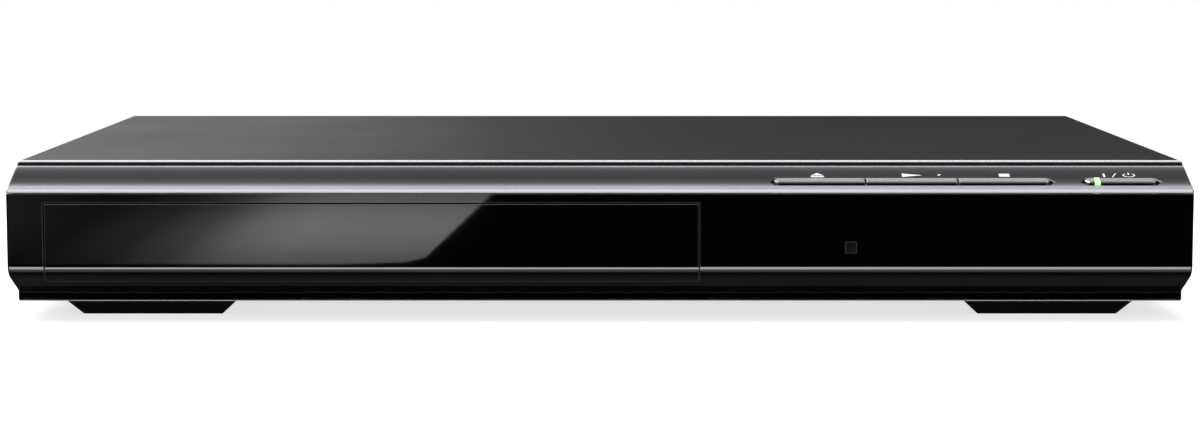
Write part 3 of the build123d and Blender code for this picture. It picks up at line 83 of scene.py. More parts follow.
# grey stops of a ramp, each a place and a level
def setStops(ramp, stops):
    while len(ramp.elements) < len(stops):
        ramp.elements.new(0.5)
    for element, (place, level) in zip(ramp.elements, stops):
        element.position = place
        element.color = (level, level, level, 1)


# the node tree of one finish
class Bench:
    noiseRoughness = 0.55       # how much the finer layers of a noise count
    edgeSamples = 4
    edgeGain = 6                # turns the slight lean of an edge's normal into full wear

    def __init__(self, owner):
        owner.use_nodes = True
        self.tree = owner.node_tree
        self.tree.nodes.clear()

    # any node, from its type, its settings and the values or links of its sockets
    def node(self, kind, settings, sockets, out=0):
        made = self.tree.nodes.new(kind)
        for key, value in settings.items():
            if key == "stops":
                setStops(made.color_ramp, value)
            else:
                setattr(made, key, value)
        for key, value in sockets.items():
            if isinstance(value, Wire):
                self.tree.links.new(value.socket, made.inputs[key])
            elif isinstance(value, tuple) and made.inputs[key].type == "RGBA":
                made.inputs[key].default_value = (*value, 1)
            else:
                made.inputs[key].default_value = value
        if made.outputs:
            return Wire(self, made.outputs[out])

    def place(self):
        return self.node("ShaderNodeTexCoord", {}, {}, "Object")

    def normal(self):
        return self.node("ShaderNodeNewGeometry", {}, {}, "Normal")

    def along(self, axis, vector):
        return self.node("ShaderNodeSeparateXYZ", {}, {"Vector": vector}, axis)

    # noise between 0 and 1 whose blotches are about size metres wide
    def noise(self, size, detail, vector=None):
        return self.node("ShaderNodeTexNoise", {}, {
            "Vector": vector or self.place(), "Scale": 1 / size, "Detail": detail,
            "Roughness": self.noiseRoughness,
        }, "Fac")

    def stretched(self, scale):
        return self.node("ShaderNodeMapping", {}, {"Vector": self.place(), "Scale": scale})

    def ramp(self, value, stops):
        return self.node("ShaderNodeValToRGB", {"stops": stops}, {"Fac": value}, "Color")

    def blend(self, amount, first, second):
        mixed = {0: amount, 6: first, 7: second}
        return self.node("ShaderNodeMix", {"data_type": "RGBA"}, mixed, 2)

    def vector(self, operation, sockets, out="Vector"):
        return self.node("ShaderNodeVectorMath", {"operation": operation}, sockets, out)

    def tinted(self, colour, tint):
        return self.vector("MULTIPLY", {0: colour, 1: tint})

    def scaled(self, colour, amount):
        return self.vector("SCALE", {0: colour, "Scale": amount})

    # 1 along the piece's edges and 0 on its flats
    def edges(self, width):
        soft = self.node("ShaderNodeBevel", {"samples": self.edgeSamples}, {"Radius": width})
        agree = self.vector("DOT_PRODUCT", {0: soft, 1: self.normal()}, "Value")
        return self.node("ShaderNodeClamp", {}, {"Value": (1 - agree) * self.edgeGain})

    def bump(self, height, strength, distance):
        return self.node("ShaderNodeBump", {}, {
            "Height": height, "Strength": strength, "Distance": distance,
        })

    def glow(self, colour, strength):
        return self.node("ShaderNodeEmission", {}, {"Color": colour, "Strength": strength})

    def surface(self, sockets):
        self.output(self.node("ShaderNodeBsdfPrincipled", {}, sockets))

    def output(self, shader, kind="ShaderNodeOutputMaterial"):
        self.node(kind, {}, {"Surface": shader})


# In every look, sizes are in metres; "patchy" and "fine" say how far the coarse and the fine noise
# move the roughness, and lists of pairs are the stops of ramps.
finishes = {}


def newFinish(name):
    finishes[name] = bpy.data.materials.new(name)
    return Bench(finishes[name])


# moulded or painted: grain in the bump, mottling in the colour and the gloss, wear along the edges
mouldedLook = {
    "mottle": 0.02, "tint": 0.1, "patchy": 0.12, "fine": 0.06,
    "edge": 0.0004, "wear": 0.25,
    "bump": 0.1, "depth": 0.2,                          # depth of the bump against the grain's size
    "coat": 0.0, "coatRoughness": 0.05,
}


def mouldedFinish(name, look):
    look = mouldedLook | look
    bench = newFinish(name)
    grain = bench.noise(look["grain"], 3)
    mottle = bench.noise(look["mottle"], 2)
    wear = bench.edges(look["edge"]) * look["wear"] + mottle.swing(look["tint"])
    bench.surface({
        "Base Color": bench.blend(wear, look["colour"], look["worn"]),
        "Roughness": look["roughness"] + mottle.swing(look["patchy"]) + grain.swing(look["fine"]),
        "Coat Weight": look["coat"],
        "Coat Roughness": look["coatRoughness"],
        "Normal": bench.bump(grain, look["bump"], look["grain"] * look["depth"]),
    })


# painted sheet: as moulded, with a painted highlight line along the rolled front edge and painted
# shade under it
def coverFinish(name, look):
    look = mouldedLook | look
    bench = newFinish(name)
    low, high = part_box("top_cover")
    grain = bench.noise(look["grain"], 3)
    mottle = bench.noise(look["mottle"], 2)
    wear = bench.edges(look["edge"]) * look["wear"] + mottle.swing(look["tint"])
    paint = bench.blend(wear, look["colour"], look["worn"])
    behind = bench.along("Y", bench.place()) - low.y
    drop = (high.z - bench.along("Z", bench.place())) / look["rollHeight"]
    rolled = bench.ramp(behind / look["rollDepth"], look["rolled"])
    # painted shade under the rolled front edge and a painted highlight line along it, both mixed
    # into the base colour
    shaded = bench.blend(rolled * bench.ramp(drop, look["shadeLine"]), paint, look["shade"])
    colour = bench.blend(rolled * bench.ramp(drop, look["bareLine"]), shaded, look["bare"])
    bench.surface({
        "Base Color": colour,
        "Roughness": look["roughness"] + mottle.swing(look["patchy"]) + grain.swing(look["fine"]),
        "Specular IOR Level": look["specular"],
        "Normal": bench.bump(grain, look["bump"], look["grain"] * look["depth"]),
    })


coverFinish("coverPaint", {
    "colour": (0.013, 0.013, 0.0142), "worn": (0.045, 0.045, 0.047), "grain": 0.00035, "bump": 0.3,
    "mottle": 0.05, "wear": 0.3, "patchy": 0.1, "roughness": 0.36, "specular": 0.13,
    "rollDepth": 0.0008, "rolled": [(0.6, 1.0), (1.0, 0.0)],
    "rollHeight": 0.00078,      # below the cover's top: a painted highlight line, and painted shade under it
    # colour of the painted highlight line along the rolled edge
    "bare": (0.74, 0.74, 0.755),
    "bareLine": [(0.0, 0.8), (0.15, 1.0), (0.45, 1.0), (0.65, 0.12), (1.0, 0.0)],
    # colour of the painted shade under that line, and where it falls
    "shade": (0.008, 0.008, 0.009), "shadeLine": [(0.6, 0.0), (0.9, 1.0)],
})
mouldedFinish("footPlastic", {
    "colour": (0.006, 0.006, 0.007), "worn": (0.03, 0.03, 0.032), "grain": 0.0005, "bump": 0.3,
    "roughness": 0.55,
})
mouldedFinish("rearPaint", {
    "colour": (0.020, 0.020, 0.021), "worn": (0.06, 0.06, 0.062), "grain": 0.0004, "bump": 0.3,
    "roughness": 0.5,
})
mouldedFinish("trayPlastic", {
    "colour": (0.022, 0.022, 0.024), "worn": (0.05, 0.05, 0.052), "grain": 0.0004, "bump": 0.3,
    "roughness": 0.42,
})
mouldedFinish("loaderPlastic", {
    "colour": (0.015, 0.015, 0.016), "worn": (0.05, 0.05, 0.05), "grain": 0.0006, "bump": 0.25,
    "roughness": 0.5,
})
mouldedFinish("gearPlastic", {
    "colour": (0.72, 0.70, 0.62), "worn": (0.5, 0.48, 0.42), "grain": 0.0004, "bump": 0.15,
    "roughness": 0.38, "wear": 0.15,
})
mouldedFinish("rubberBlack", {
    "colour": (0.015, 0.015, 0.015), "worn": (0.05, 0.05, 0.05), "grain": 0.0003, "bump": 0.4,
    "roughness": 0.75,
})
mouldedFinish("chipBlack", {
    "colour": (0.018, 0.018, 0.018), "worn": (0.05, 0.05, 0.05), "grain": 0.0003, "bump": 0.25,
    "roughness": 0.5,
})
mouldedFinish("boardGreen", {
    "colour": (0.015, 0.12, 0.045), "worn": (0.03, 0.20, 0.08), "grain": 0.0008, "bump": 0.12,
    "roughness": 0.35, "coat": 0.4,
})
mouldedFinish("tapeYellow", {
    "colour": (0.60, 0.42, 0.05), "worn": (0.7, 0.5, 0.1), "grain": 0.0006, "bump": 0.15,
    "roughness": 0.35,
})
mouldedFinish("capacitorSleeve", {
    "colour": (0.012, 0.012, 0.035), "worn": (0.05, 0.05, 0.08), "grain": 0.0005, "roughness": 0.28,
})
mouldedFinish("ribbonWhite", {
    "colour": (0.72, 0.72, 0.70), "worn": (0.55, 0.55, 0.52), "grain": 0.0004, "roughness": 0.42,
})
mouldedFinish("socketBlack", {
    "colour": (0.015, 0.015, 0.015), "worn": (0.04, 0.04, 0.04), "grain": 0.0004, "bump": 0.2,
    "roughness": 0.45,
})

# the jacks' inserts: one colour for each socket, in order along X
sockets = {
    "colours": {
        "socketOrange": (0.85, 0.22, 0.02), "socketGreen": (0.03, 0.40, 0.10),
        "socketBlue": (0.03, 0.12, 0.55), "socketRed": (0.60, 0.02, 0.02),
        "socketYellow": (0.85, 0.62, 0.03), "socketWhite": (0.80, 0.80, 0.78),
    },
    "worn": 0.7,                # the worn colour against the fresh one
    "order": ["socketOrange", "socketGreen", "socketBlue", "socketRed",
              "socketYellow", "socketWhite", "socketRed"],
}
for name, colour in sockets["colours"].items():
    mouldedFinish(name, {
        "colour": colour, "worn": tuple(sockets["worn"] * c for c in colour), "grain": 0.0004,
        "roughness": 0.4, "wear": 0.1,
    })


# metallic lacquer: fine flakes under a thin gloss, rubbed bare along the edges
lacquerLook = {
    "flake": 0.00012, "drift": 0.03, "patchy": 0.08, "fine": 0.1,
    "glints": [(0.45, 0.0), (0.75, 1.0)],               # which flakes catch the light
    "edge": 0.0003, "depth": 0.15, "coat": 0.25, "coatRoughness": 0.12,
}


def lacquer(bench, look, flakes, colour):
    drift = bench.noise(look["drift"], 2)
    wear = bench.edges(look["edge"]) * look["wear"]
    bench.surface({
        "Base Color": bench.blend(wear, colour, look["bare"]),
        "Metallic": look["metallic"],
        "Roughness": look["roughness"] + drift.swing(look["patchy"]) + flakes.swing(look["fine"]),
        "Coat Weight": look["coat"],
        "Coat Roughness": look["coatRoughness"],
        "Normal": bench.bump(flakes, look["bump"], look["flake"] * look["depth"]),
    })


# the hollow strip: painted reflections in its colour, a light rear edge, a dark middle and a
# painted highlight running down to the nose
def stripFinish(name, look):
    look = lacquerLook | look
    bench = newFinish(name)
    low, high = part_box("trim_strip")
    flakes = bench.noise(look["flake"], 1)
    behind = (bench.along("Y", bench.place()) - low.y) / (high.y - low.y)
    # painted reflection across the strip's depth, mixed into its colour
    tintedPaintedReflection = bench.tinted(bench.ramp(behind, look["tones"]), look["tint"])
    glints = bench.ramp(flakes, look["glints"]) * look["glint"]
    lacquer(bench, look, flakes, bench.scaled(tintedPaintedReflection, look["between"] + glints))


# the buttons: painted sparkle of the flakes on top, and painted shade on the faces that look
# forward
def buttonFinish(name, look):
    look = lacquerLook | look
    bench = newFinish(name)
    flakes = bench.noise(look["flake"], 1)
    sparkle = bench.blend(bench.ramp(flakes, look["glints"]), look["colour"], look["bare"])
    # painted shade on the faces that look forward, in the dark colour given as front
    ahead = bench.ramp(0 - bench.along("Y", bench.normal()), look["ahead"])
    lacquer(bench, look, flakes, bench.blend(ahead, sparkle, look["front"]))


stripFinish("stripLacquer", {
    "tones": [                                          # painted reflection, from the face to the cover
        (0.0, 0.23), (0.035, 0.23), (0.075, 0.66), (0.12, 0.70), (0.18, 0.43), (0.26, 0.165),
        (0.335, 0.080), (0.41, 0.050), (0.50, 0.034), (0.65, 0.036), (0.75, 0.055), (0.84, 0.088),
        (0.92, 0.15), (0.95, 0.40), (1.0, 0.75)],
    "tint": (1.0, 0.985, 1.07), "bare": (0.45, 0.45, 0.46), "between": 0.9, "glint": 0.25,
    "metallic": 0.75, "roughness": 0.30, "bump": 0.12, "wear": 0.3,
})
buttonFinish("buttonLacquer", {
    "colour": (0.68, 0.68, 0.69), "bare": (0.80, 0.80, 0.81), "metallic": 0.8, "roughness": 0.24,
    # front is the colour of the painted shade on the faces that look forward
    "bump": 0.03, "wear": 0.15, "front": (0.012, 0.012, 0.013), "ahead": [(0.80, 0.0), (0.86, 1.0)],
})


# polished black moulding: a clear gloss with faint wipe marks and dust, and painted light on the
# faces that look down
pianoLook = {
    "wipe": 0.004, "wipeAlong": (1, 1, 9), "haze": 0.03,
    "smear": 0.03, "smeared": [(0.25, 0.0), (0.5, 1.0)],
    "dust": 0.0006, "dusted": [(0.72, 0.0), (0.78, 1.0)], "dustTint": 0.006, "dustRoughness": 0.05,
    "edge": 0.0003, "wear": 0.6, "bump": 0.02, "bumpDepth": 0.0002,
    "below": [(0.45, 0.0), (0.75, 1.0)],                # how far a face looks down to take the painted light
}


def pianoFinish(name, look):
    look = pianoLook | look
    bench = newFinish(name)
    wiped = bench.noise(look["wipe"], 4, bench.stretched(look["wipeAlong"]))
    haze = bench.noise(look["haze"], 3)
    dust = bench.ramp(bench.noise(look["dust"], 2), look["dusted"])
    wear = bench.edges(look["edge"]) * look["wear"]
    smear = bench.ramp(wiped * haze, look["smeared"])
    paintedLightBelow = bench.ramp(0 - bench.along("Z", bench.normal()), look["below"])
    # painted light on the faces that look down, in the lighter colour given as under
    base = bench.blend(paintedLightBelow, look["colour"], look["under"])
    bench.surface({
        "Base Color": bench.blend(wear + dust * look["dustTint"], base, look["worn"]),
        "Roughness": look["roughness"] + smear * look["smear"] + dust * look["dustRoughness"],
        "Specular IOR Level": look["specular"],
        "Normal": bench.bump(haze, look["bump"], look["bumpDepth"]),
    })


pianoFinish("pianoBlack", {
    "colour": (0.0010, 0.0010, 0.0012), "worn": (0.16, 0.16, 0.165),
    # under is the colour of the painted light on the faces that look down
    "under": (0.0055, 0.0055, 0.006), "roughness": 0.03, "specular": 0.5,
})
pianoFinish("windowSmoke", {
    "colour": (0.010, 0.007, 0.008), "worn": (0.03, 0.03, 0.03),
    "under": (0.010, 0.007, 0.008), "roughness": 0.12, "specular": 0.6,
})


# bare metal with fine lines along one direction and dull stains
metalLook = {
    "lines": 0.0004, "along": (0.05, 1, 1), "fine": 0.18, "bump": 0.12, "bumpDepth": 0.0001,
    "stains": 0.012, "stainFrom": 0.4, "stain": 0.5, "patchy": 0.12,
}


def metalFinish(name, look):
    look = metalLook | look
    bench = newFinish(name)
    lines = bench.noise(look["lines"], 3, bench.stretched(look["along"]))
    stains = bench.noise(look["stains"], 3)
    dulled = (stains - look["stainFrom"]) * look["stain"]
    bench.surface({
        "Base Color": bench.blend(dulled, look["colour"], look["dull"]),
        "Metallic": 1.0,
        "Roughness": look["roughness"] + lines.swing(look["fine"]) + stains.swing(look["patchy"]),
        "Normal": bench.bump(lines, look["bump"], look["bumpDepth"]),
    })


metalFinish("zincSteel", {
    "colour": (0.56, 0.57, 0.58), "dull": (0.38, 0.39, 0.40), "roughness": 0.36,
})
metalFinish("brightSteel", {
    "colour": (0.62, 0.62, 0.61), "dull": (0.45, 0.45, 0.44), "roughness": 0.24,
})
metalFinish("sledMetal", {
    "colour": (0.50, 0.50, 0.51), "dull": (0.36, 0.36, 0.37), "roughness": 0.45,
    "along": (1, 1, 1), "bump": 0.3,
})
metalFinish("sinkAluminium", {
    "colour": (0.62, 0.63, 0.64), "dull": (0.45, 0.46, 0.47), "roughness": 0.38,
})
metalFinish("nickelPlate", {
    "colour": (0.66, 0.64, 0.60), "dull": (0.50, 0.48, 0.44), "roughness": 0.16, "bump": 0.03,
})


# clear parts with a thin film on them: lens, fuse and lamp
clearLook = {"blotch": 0.002, "tint": 0.3, "roughness": 0.05, "patchy": 0.05, "refraction": 1.5}


def clearFinish(name, look):
    look = clearLook | look
    bench = newFinish(name)
    film = bench.noise(look["blotch"], 2)
    bench.surface({
        "Base Color": bench.blend(film.swing(look["tint"]), look["colour"], look["film"]),
        "Roughness": look["roughness"] + film * look["patchy"],
        "Transmission Weight": look["clear"],
        "IOR": look["refraction"],
    })


clearFinish("lensGlass", {"colour": (0.30, 0.35, 0.75), "film": (0.5, 0.3, 0.8), "clear": 0.5})
clearFinish("fuseGlass", {"colour": (0.80, 0.85, 0.85), "film": (0.7, 0.75, 0.75), "clear": 0.8})
clearFinish("lampClear", {"colour": (0.30, 0.75, 0.25), "film": (0.4, 0.8, 0.3), "clear": 0.5})


# the lit light pipe of the power button
def glowFinish(name, look):
    bench = newFinish(name)
    ripple = bench.noise(look["ripple"], 2)
    colour = bench.blend(ripple, look["colour"], look["core"])
    bench.surface({
        "Base Color": colour,
        "Roughness": look["roughness"] + ripple * look["patchy"],
        "Emission Color": colour,
        "Emission Strength": look["strength"],
    })


glowFinish("greenGlow", {
    "colour": (0.30, 0.80, 0.22), "core": (0.50, 0.92, 0.36), "strength": 0.9,
    "ripple": 0.0008, "roughness": 0.3, "patchy": 0.1,
})


# printed marks: opaque ink, a little uneven
def inkFinish(name, look):
    bench = newFinish(name)
    blots = bench.noise(look["blots"], 2)
    bench.surface({
        "Base Color": bench.blend(blots, look["colour"], look["thin"]),
        "Roughness": look["roughness"] + blots.swing(look["patchy"]),
        "Normal": bench.bump(blots, look["bump"], look["bumpDepth"]),
    })


inkFinish("whiteInk", {
    "colour": (0.86, 0.86, 0.86), "thin": (0.78, 0.78, 0.79), "blots": 0.0002, "roughness": 0.45,
    "patchy": 0.2, "bump": 0.1, "bumpDepth": 0.00002,
})
print("finishes mixed,", len(finishes))

finishOf = {
    "coverPaint": ["top_cover"],
    "stripLacquer": ["trim_strip"],
    "buttonLacquer": ["eject_button", "play_button", "stop_button", "power_button"],
    "pianoBlack": ["front_panel", "tray_door"],
    "footPlastic": ["foot_front_left", "foot_front_right", "foot_rear_left", "foot_rear_right"],
    "windowSmoke": ["receiver_window"],
    "greenGlow": ["power_light"],
    "zincSteel": ["pan", "clamp_bridge", "traverse_frame"],
    "rearPaint": ["rear_panel"],
    "brightSteel": ["cover_screws", "short_screws", "loader_screws", "guide_rod_left",
                    "guide_rod_right", "lead_screw", "loading_motor", "sled_motor",
                    "spindle_motor", "clamp_magnet"],
    "trayPlastic": ["tray"],
    "loaderPlastic": ["loader_frame", "cord_gland", "cam_slider"],
    "gearPlastic": ["drive_gear", "pulley_gear", "motor_pulley", "clamper", "turntable"],
    "rubberBlack": ["drive_belt", "turntable_mat", "pivot_bushes"],
    "sledMetal": ["pickup_sled"],
    "chipBlack": ["lens_actuator", "decoder_chip", "tact_switches", "remote_receiver"],
    "lensGlass": ["pickup_lens"],
    "boardGreen": ["main_board", "power_board", "front_board"],
    "tapeYellow": ["transformer"],
    "capacitorSleeve": ["capacitors"],
    "sinkAluminium": ["heat_sink"],
    "fuseGlass": ["fuse"],
    "lampClear": ["power_lamp"],
    "ribbonWhite": ["front_ribbon"],
    "socketBlack": ["coaxial_block", "component_block", "audio_video_block"],
    "nickelPlate": ["jack_shells"],
}
for finish, names in finishOf.items():
    for name in names:
        nodes[name].data.materials.clear()
        nodes[name].data.materials.append(finishes[finish])

# the inserts are one piece, so each face is told apart by where it lies
inserts = nodes["jack_inserts"].data
insertLow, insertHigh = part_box("jack_inserts")
insertPitch = (insertHigh.x - insertLow.x) / len(sockets["order"])
inserts.materials.clear()
for finish in sockets["order"]:
    inserts.materials.append(finishes[finish])
for face in inserts.polygons:
    fromLeft = int((face.center.x - insertLow.x) / insertPitch)
    face.material_index = min(fromLeft, len(sockets["order"]) - 1)

# smooth shading where the facets bend less than this
smoothBelow = radians(28)
for node in nodes.values():
    node.data.shade_smooth()
    bpy.context.view_layer.objects.active = node
    picked = {"object": node, "active_object": node, "selected_editable_objects": [node]}
    with bpy.context.temp_override(**picked):
        bpy.ops.object.shade_smooth_by_angle(angle=smoothBelow)
print("pieces dressed")


def meshOf(name, shape):
    mesh = bpy.data.meshes.new(name)
    shape.to_mesh(mesh)
    shape.free()
    return mesh


def intoScene(name, data):
    made = bpy.data.objects.new(name, data)
    bpy.context.scene.collection.objects.link(made)
    return made


# an added piece, fixed to the casing, with its finish
def keepPiece(name, shape, finish):
    mesh = meshOf(name, shape)
    mesh.materials.append(finishes[finish])
    piece = intoScene(name, mesh)
    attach(piece, "casing")


# marks on the strip; places across it are in millimetres from the middle of the player
marks = {
    "behind": 8.5 * mm,         # depth of the marks' middle behind the face
    "slope": radians(21.1),     # of the strip's top under them
    "squat": 0.64,              # height of the marks against their drawn outlines
    "ink": 0.03 * mm,           # thickness over the strip
    "sunk": 0.3,                # how far the ink goes below its surface, against that thickness
    "across": {
        "eject_mark": 59.06, "play_mark": 84.9, "play_touch_dot": 92.26, "stop_mark": 109.96,
        "power_mark_bar": 137.04, "power_mark_slash": 139.82, "power_mark_ring": 143.82,
    },
}
stripLow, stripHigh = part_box("trim_strip")
slopeUp = Vector((0, cos(marks["slope"]), sin(marks["slope"])))
slopeOut = Vector((0, -sin(marks["slope"]), cos(marks["slope"])))


# the point of the strip's surface that a mark is centred on
def markPlace(name):
    rear = Vector((marks["across"][name] * mm, stripHigh.y, stripHigh.z))
    return rear - slopeUp * ((stripHigh.y - stripLow.y - marks["behind"]) / cos(marks["slope"]))


# a flat mark from outlines drawn in millimetres across and up the slope
def printMark(name, outlines):
    shape = bmesh.new()
    middle = markPlace(name)
    ink = slopeOut * marks["ink"]
    for outline in outlines:
        points = [middle + Vector((u * mm, 0, 0)) + slopeUp * (v * mm) * marks["squat"]
                  for u, v in outline]
        under = [shape.verts.new(point - ink * marks["sunk"]) for point in points]
        over = [shape.verts.new(point + ink) for point in points]
        shape.faces.new(over)
        shape.faces.new(list(reversed(under)))
        for i in range(len(points)):
            j = (i + 1) % len(points)
            shape.faces.new((under[i], under[j], over[j], over[i]))
    bmesh.ops.recalc_face_normals(shape, faces=shape.faces)
    keepPiece(name, shape, "whiteInk")


# a band of a circle between two angles
def ringPart(radius, width, first, last, steps=28):
    angles = [radians(first + (last - first) * i / steps) for i in range(steps + 1)]
    outer = [(radius * cos(a), radius * sin(a)) for a in angles]
    inner = [((radius - width) * cos(a), (radius - width) * sin(a)) for a in reversed(angles)]
    return outer + inner


def bar(left, right, low, high):
    return [(left, low), (right, low), (right, high), (left, high)]


printMark("eject_mark", [[(-1.8, -0.2), (1.8, -0.2), (0, 2.2)], bar(-1.8, 1.8, -1.9, -0.9)])
printMark("play_mark", [[(-2.8, -1.6), (2.8, 0), (-2.8, 1.6)]])
printMark("stop_mark", [bar(-1.45, 1.45, -1.4, 1.4)])
printMark("power_mark_bar", [bar(-0.3, 0.3, -1.6, 1.6)])
printMark("power_mark_slash", [[(-0.75, -1.8), (-0.4, -1.8), (0.75, 1.8), (0.4, 1.8)]])
printMark("power_mark_ring", [ringPart(1.75, 0.38, 125, 415), bar(-0.2, 0.2, 0.5, 2.3)])
print("marks printed")

# raised dot that tells the play button by touch
touchDot = {"radius": 0.45 * mm, "height": 0.3 * mm, "steps": 24}
shape = bmesh.new()
bmesh.ops.create_uvsphere(shape, u_segments=touchDot["steps"], v_segments=touchDot["steps"] // 2,
                          radius=touchDot["radius"])
squeeze = Matrix.Diagonal((1, 1, touchDot["height"] / touchDot["radius"], 1))
lean = Matrix.Rotation(marks["slope"], 4, "X")
seat = Matrix.Translation(markPlace("play_touch_dot"))
bmesh.ops.transform(shape, matrix=seat @ lean @ squeeze, verts=shape.verts)
for face in shape.faces:
    face.smooth = True
keepPiece("play_touch_dot", shape, "buttonLacquer")

# dark crosses on the heads of the three cover screws: painted shade standing in for their recesses,
# each left at its own angle
paintedCrossShade = {"long": 2.7 * mm, "wide": 0.64 * mm, "deep": 0.04 * mm, "turned": [20, 65, 48]}
screwLow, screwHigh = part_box("cover_screws")
headRadius = (screwHigh.z - screwLow.z) / 2
headPlaces = [screwLow.x + headRadius, (screwLow.x + screwHigh.x) / 2, screwHigh.x - headRadius]
squeeze = Matrix.Diagonal((paintedCrossShade["long"], paintedCrossShade["deep"], paintedCrossShade["wide"], 1))
shape = bmesh.new()
for x, turned in zip(headPlaces, paintedCrossShade["turned"]):
    seat = Matrix.Translation(Vector((x, screwHigh.y, screwLow.z + headRadius)))
    for quarter in (0, 90):
        spin = Matrix.Rotation(radians(turned + quarter), 4, "Y")
        stroke = bmesh.ops.create_cube(shape, size=1)["verts"]
        bmesh.ops.transform(shape, matrix=seat @ spin @ squeeze, verts=stroke)
keepPiece("cover_screw_cross_shade", shape, "chipBlack")
print("dot and screw heads done")


# a mesh of the studio; all its corners make one face unless faces are given
def stageMesh(name, corners, finish, faces=None):
    shape = bmesh.new()
    points = [shape.verts.new(corner) for corner in corners]
    for face in faces or [range(len(points))]:
        shape.faces.new([points[i] for i in face])
    mesh = meshOf(name, shape)
    mesh.materials.append(finish)
    card = intoScene(name, mesh)
    return card


def flat(left, right, near, far, height):
    return [(left, near, height), (right, near, height), (right, far, height), (left, far, height)]


studio = {
    "floorHalf": 3.0,
    "floorColour": (0.80, 0.80, 0.80),
    "floorLift": 0.72,          # added to the floor for camera rays only, so it reads as white
    "whiteFrom": 0.30,          # from here on the camera sees ever more plain white
    "whiteAt": 0.46,
    "white": (1, 1, 1),
    "whiteLevel": 1.0,
    "skyLevel": 0.30,
}


def floorFinish():
    bench = newFinish("studioFloor")
    seen = bench.node("ShaderNodeLightPath", {}, {}, "Is Camera Ray")
    reach = bench.vector("LENGTH", {0: bench.place()}, "Value")
    away = (reach - studio["whiteFrom"]) / (studio["whiteAt"] - studio["whiteFrom"])
    share = bench.ramp(away, [(0.0, 0.0), (1.0, 1.0)])
    matte = bench.node("ShaderNodeBsdfDiffuse", {}, {"Color": studio["floorColour"]})
    lift = bench.glow(studio["white"], seen * studio["floorLift"])
    near = bench.node("ShaderNodeAddShader", {}, {0: matte, 1: lift})
    far = bench.glow(studio["white"], studio["whiteLevel"])
    bench.output(bench.node("ShaderNodeMixShader", {}, {0: share * seen, 1: near, 2: far}))
    return finishes["studioFloor"]


half = studio["floorHalf"]
stageMesh("studio_floor", flat(-half, half, -half, half, 0), floorFinish())

world = bpy.data.worlds.new("studioSky")
bpy.context.scene.world = world
bench = Bench(world)
seen = bench.node("ShaderNodeLightPath", {}, {}, "Is Camera Ray")
sky, white = [bench.node("ShaderNodeBackground", {}, {"Color": studio["white"], "Strength": level})
              for level in (studio["skyLevel"], studio["whiteLevel"])]
backdrop = bench.node("ShaderNodeMixShader", {}, {0: seen, 1: sky, 2: white})
bench.output(backdrop, "ShaderNodeOutputWorld")


# a card's glow: its level times one ramp for each axis that it fades along
def cardFinish(name, look):
    bench = newFinish(name)
    tint = look.get("tint", studio["white"])
    glow = None
    for axis, fade in look.get("fades", {}).items():
        share = (bench.along(axis, bench.place()) - fade["from"]) / (fade["to"] - fade["from"])
        step = bench.ramp(share, fade["stops"])
        glow = step if glow is None else glow * step
    colour = tint if glow is None else bench.blend(glow, (0, 0, 0), tint)
    bench.output(bench.glow(colour, look["level"]))
    return finishes[name]


# a card that only glossy surfaces see, as a photographer's flags and reflectors
def glossCard(name, corners, finish, faces=None):
    card = stageMesh(name, corners, finish, faces)
    card.visible_camera = False
    card.visible_diffuse = False
    card.visible_shadow = False
    card.visible_transmission = False
    card.visible_volume_scatter = False


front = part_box("front_panel")[0].y

# dark table top before and under the player, so that the gloss face stays black
table = {
    "half": 0.75, "near": -0.95, "far": 0.12, "height": 0.1 * mm, "level": 0.03,
    "fades": {"Y": {"from": front, "to": front + 4 * mm, "stops": [(0.0, 0.0), (1.0, 1.0)]}},
}
corners = flat(-table["half"], table["half"], table["near"], table["far"], table["height"])
glossCard("dark_table", corners, cardFinish("darkTable", table))

# grey reflector on the table, seen in the tray door; its right edge runs askew
reflector = {
    "left": -245 * mm, "nearRight": -57 * mm, "farRight": -42.4 * mm,
    "near": front - 137 * mm, "far": front - 402 * mm,
    "cut": [(26 * mm, 0), (6 * mm, 5 * mm), (0, 18 * mm)],     # its near right corner, cut off
    "height": 0.2 * mm, "level": 3.7, "tint": (0.98, 0.97, 1.0),
}
reflector["fades"] = {
    "X": {"from": -0.240, "to": -0.040, "stops": [
        (0.0, 0.10), (0.17, 0.05), (0.26, 0.04), (0.40, 0.12), (0.50, 0.33), (0.58, 0.78),
        (0.67, 1.0), (0.80, 0.94), (1.0, 0.86)]},
    "Y": {"from": reflector["far"], "to": reflector["near"], "stops": [
        (0.0, 0.50), (0.13, 0.60), (0.45, 0.95), (0.58, 1.0), (0.78, 0.85), (0.92, 0.62),
        (1.0, 0.55)]},
}
corners = [(reflector["left"], reflector["near"], reflector["height"])]
for inward, away in reflector["cut"]:
    corners.append((reflector["nearRight"] - inward, reflector["near"] - away, reflector["height"]))
corners.append((reflector["farRight"], reflector["far"], reflector["height"]))
corners.append((reflector["left"], reflector["far"], reflector["height"]))
glossCard("grey_reflector", corners, cardFinish("greyReflector", reflector))

# bright strip close to the face, seen in the lip under it
lipStrip = {
    "half": 170 * mm, "near": front - 5 * mm, "far": front - 21.2 * mm,
    "height": 0.3 * mm, "level": 9.0,
}
lipStrip["fades"] = {"Y": {"from": lipStrip["far"], "to": lipStrip["near"], "stops": [
    (0.0, 1.0), (0.32, 1.0), (0.6, 0.14), (1.0, 0.06)]}}
corners = flat(-lipStrip["half"], lipStrip["half"], lipStrip["far"], lipStrip["near"],
               lipStrip["height"])
glossCard("lip_strip", corners, cardFinish("lipStrip", lipStrip))

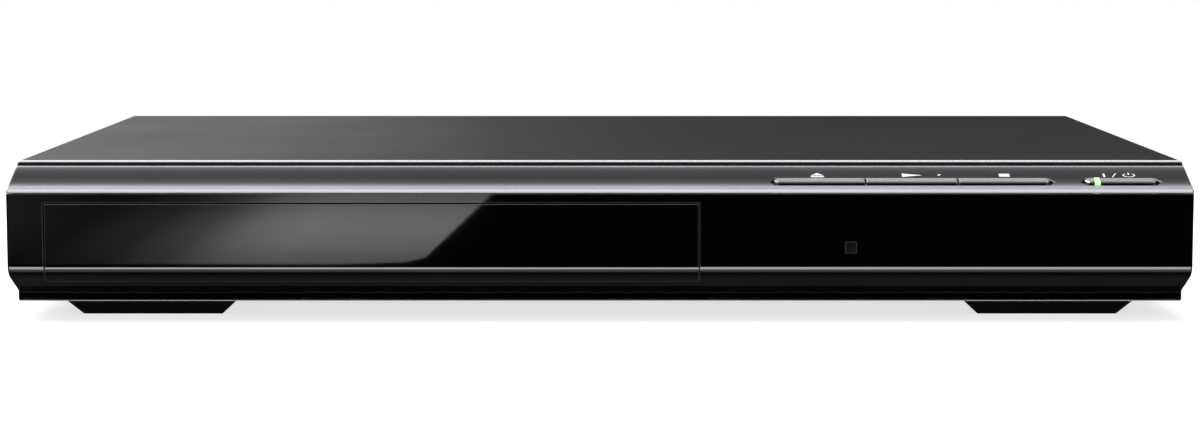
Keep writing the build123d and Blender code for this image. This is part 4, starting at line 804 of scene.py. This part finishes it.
# curved panel over the player, from low in front to past the top, for its rounded nose
panel = {
    "radius": 1.0, "half": 0.9, "height": 0.03, "level": 3.2,
    "first": 16, "last": 112, "steps": 12,              # its arc in degrees, from level in front
}
corners = []
for i in range(panel["steps"] + 1):
    lean = radians(panel["first"] + (panel["last"] - panel["first"]) * i / panel["steps"])
    y = front - panel["radius"] * cos(lean)
    z = panel["height"] + panel["radius"] * sin(lean)
    corners += [(-panel["half"], y, z), (panel["half"], y, z)]
faces = [(2 * i, 2 * i + 1, 2 * i + 3, 2 * i + 2) for i in range(panel["steps"])]
glossCard("arched_panel", corners, cardFinish("archedPanel", panel), faces)

# low card behind, bright at the left, seen at a glance in the cover
backCard = {
    "half": 1.5, "behind": 1.3, "high": 0.42, "level": 0.88,
    "fades": {"X": {"from": -0.45, "to": 0.45, "stops": [
        (0.0, 1.0), (0.15, 0.88), (0.3, 0.56), (0.42, 0.20), (0.55, 0.09), (0.7, 0.04),
        (1.0, 0.02)]}},
}
corners = [(-backCard["half"], backCard["behind"], 0), (backCard["half"], backCard["behind"], 0),
           (backCard["half"], backCard["behind"], backCard["high"]),
           (-backCard["half"], backCard["behind"], backCard["high"])]
glossCard("back_card", corners, cardFinish("backCard", backCard))

# soft boxes, all turned to the middle of the player
lamps = {
    "aim": (0, 0, 0.03),
    "boxes": {
        "topSoftbox": {"place": (-0.25, -0.25, 1.1), "size": (1.3, 0.7), "power": 14},
        "leftSoftbox": {"place": (-0.9, 0.5, 0.55), "size": (0.6, 0.6), "power": 5},
        "frontFill": {"place": (0.3, -1.3, 0.6), "size": (0.9, 0.4), "power": 2},
    },
}
for name, box in lamps["boxes"].items():
    data = bpy.data.lights.new(name, "AREA")
    data.shape = "RECTANGLE"
    data.size, data.size_y = box["size"]
    data.energy = box["power"]
    lamp = intoScene(name, data)
    lamp.location = box["place"]
    towards = Vector(lamps["aim"]) - Vector(box["place"])
    lamp.rotation_euler = towards.to_track_quat("-Z", "Y").to_euler()

# the photograph's view, fitted to the cover's corners and the face's edges
view = {
    "focal": 82.65, "sensor": 36.0, "clipStart": 0.05,
    "place": (0.0, -842.6 * mm, 105.35 * mm),
    "pitch": 5.84,              # degrees below level
}
data = bpy.data.cameras.new("photoCamera")
data.lens = view["focal"]
data.sensor_width = view["sensor"]
data.clip_start = view["clipStart"]
camera = intoScene("photoCamera", data)
camera.location = view["place"]
camera.rotation_euler = (radians(90 - view["pitch"]), 0, 0)
bpy.context.scene.camera = camera
print("studio set")
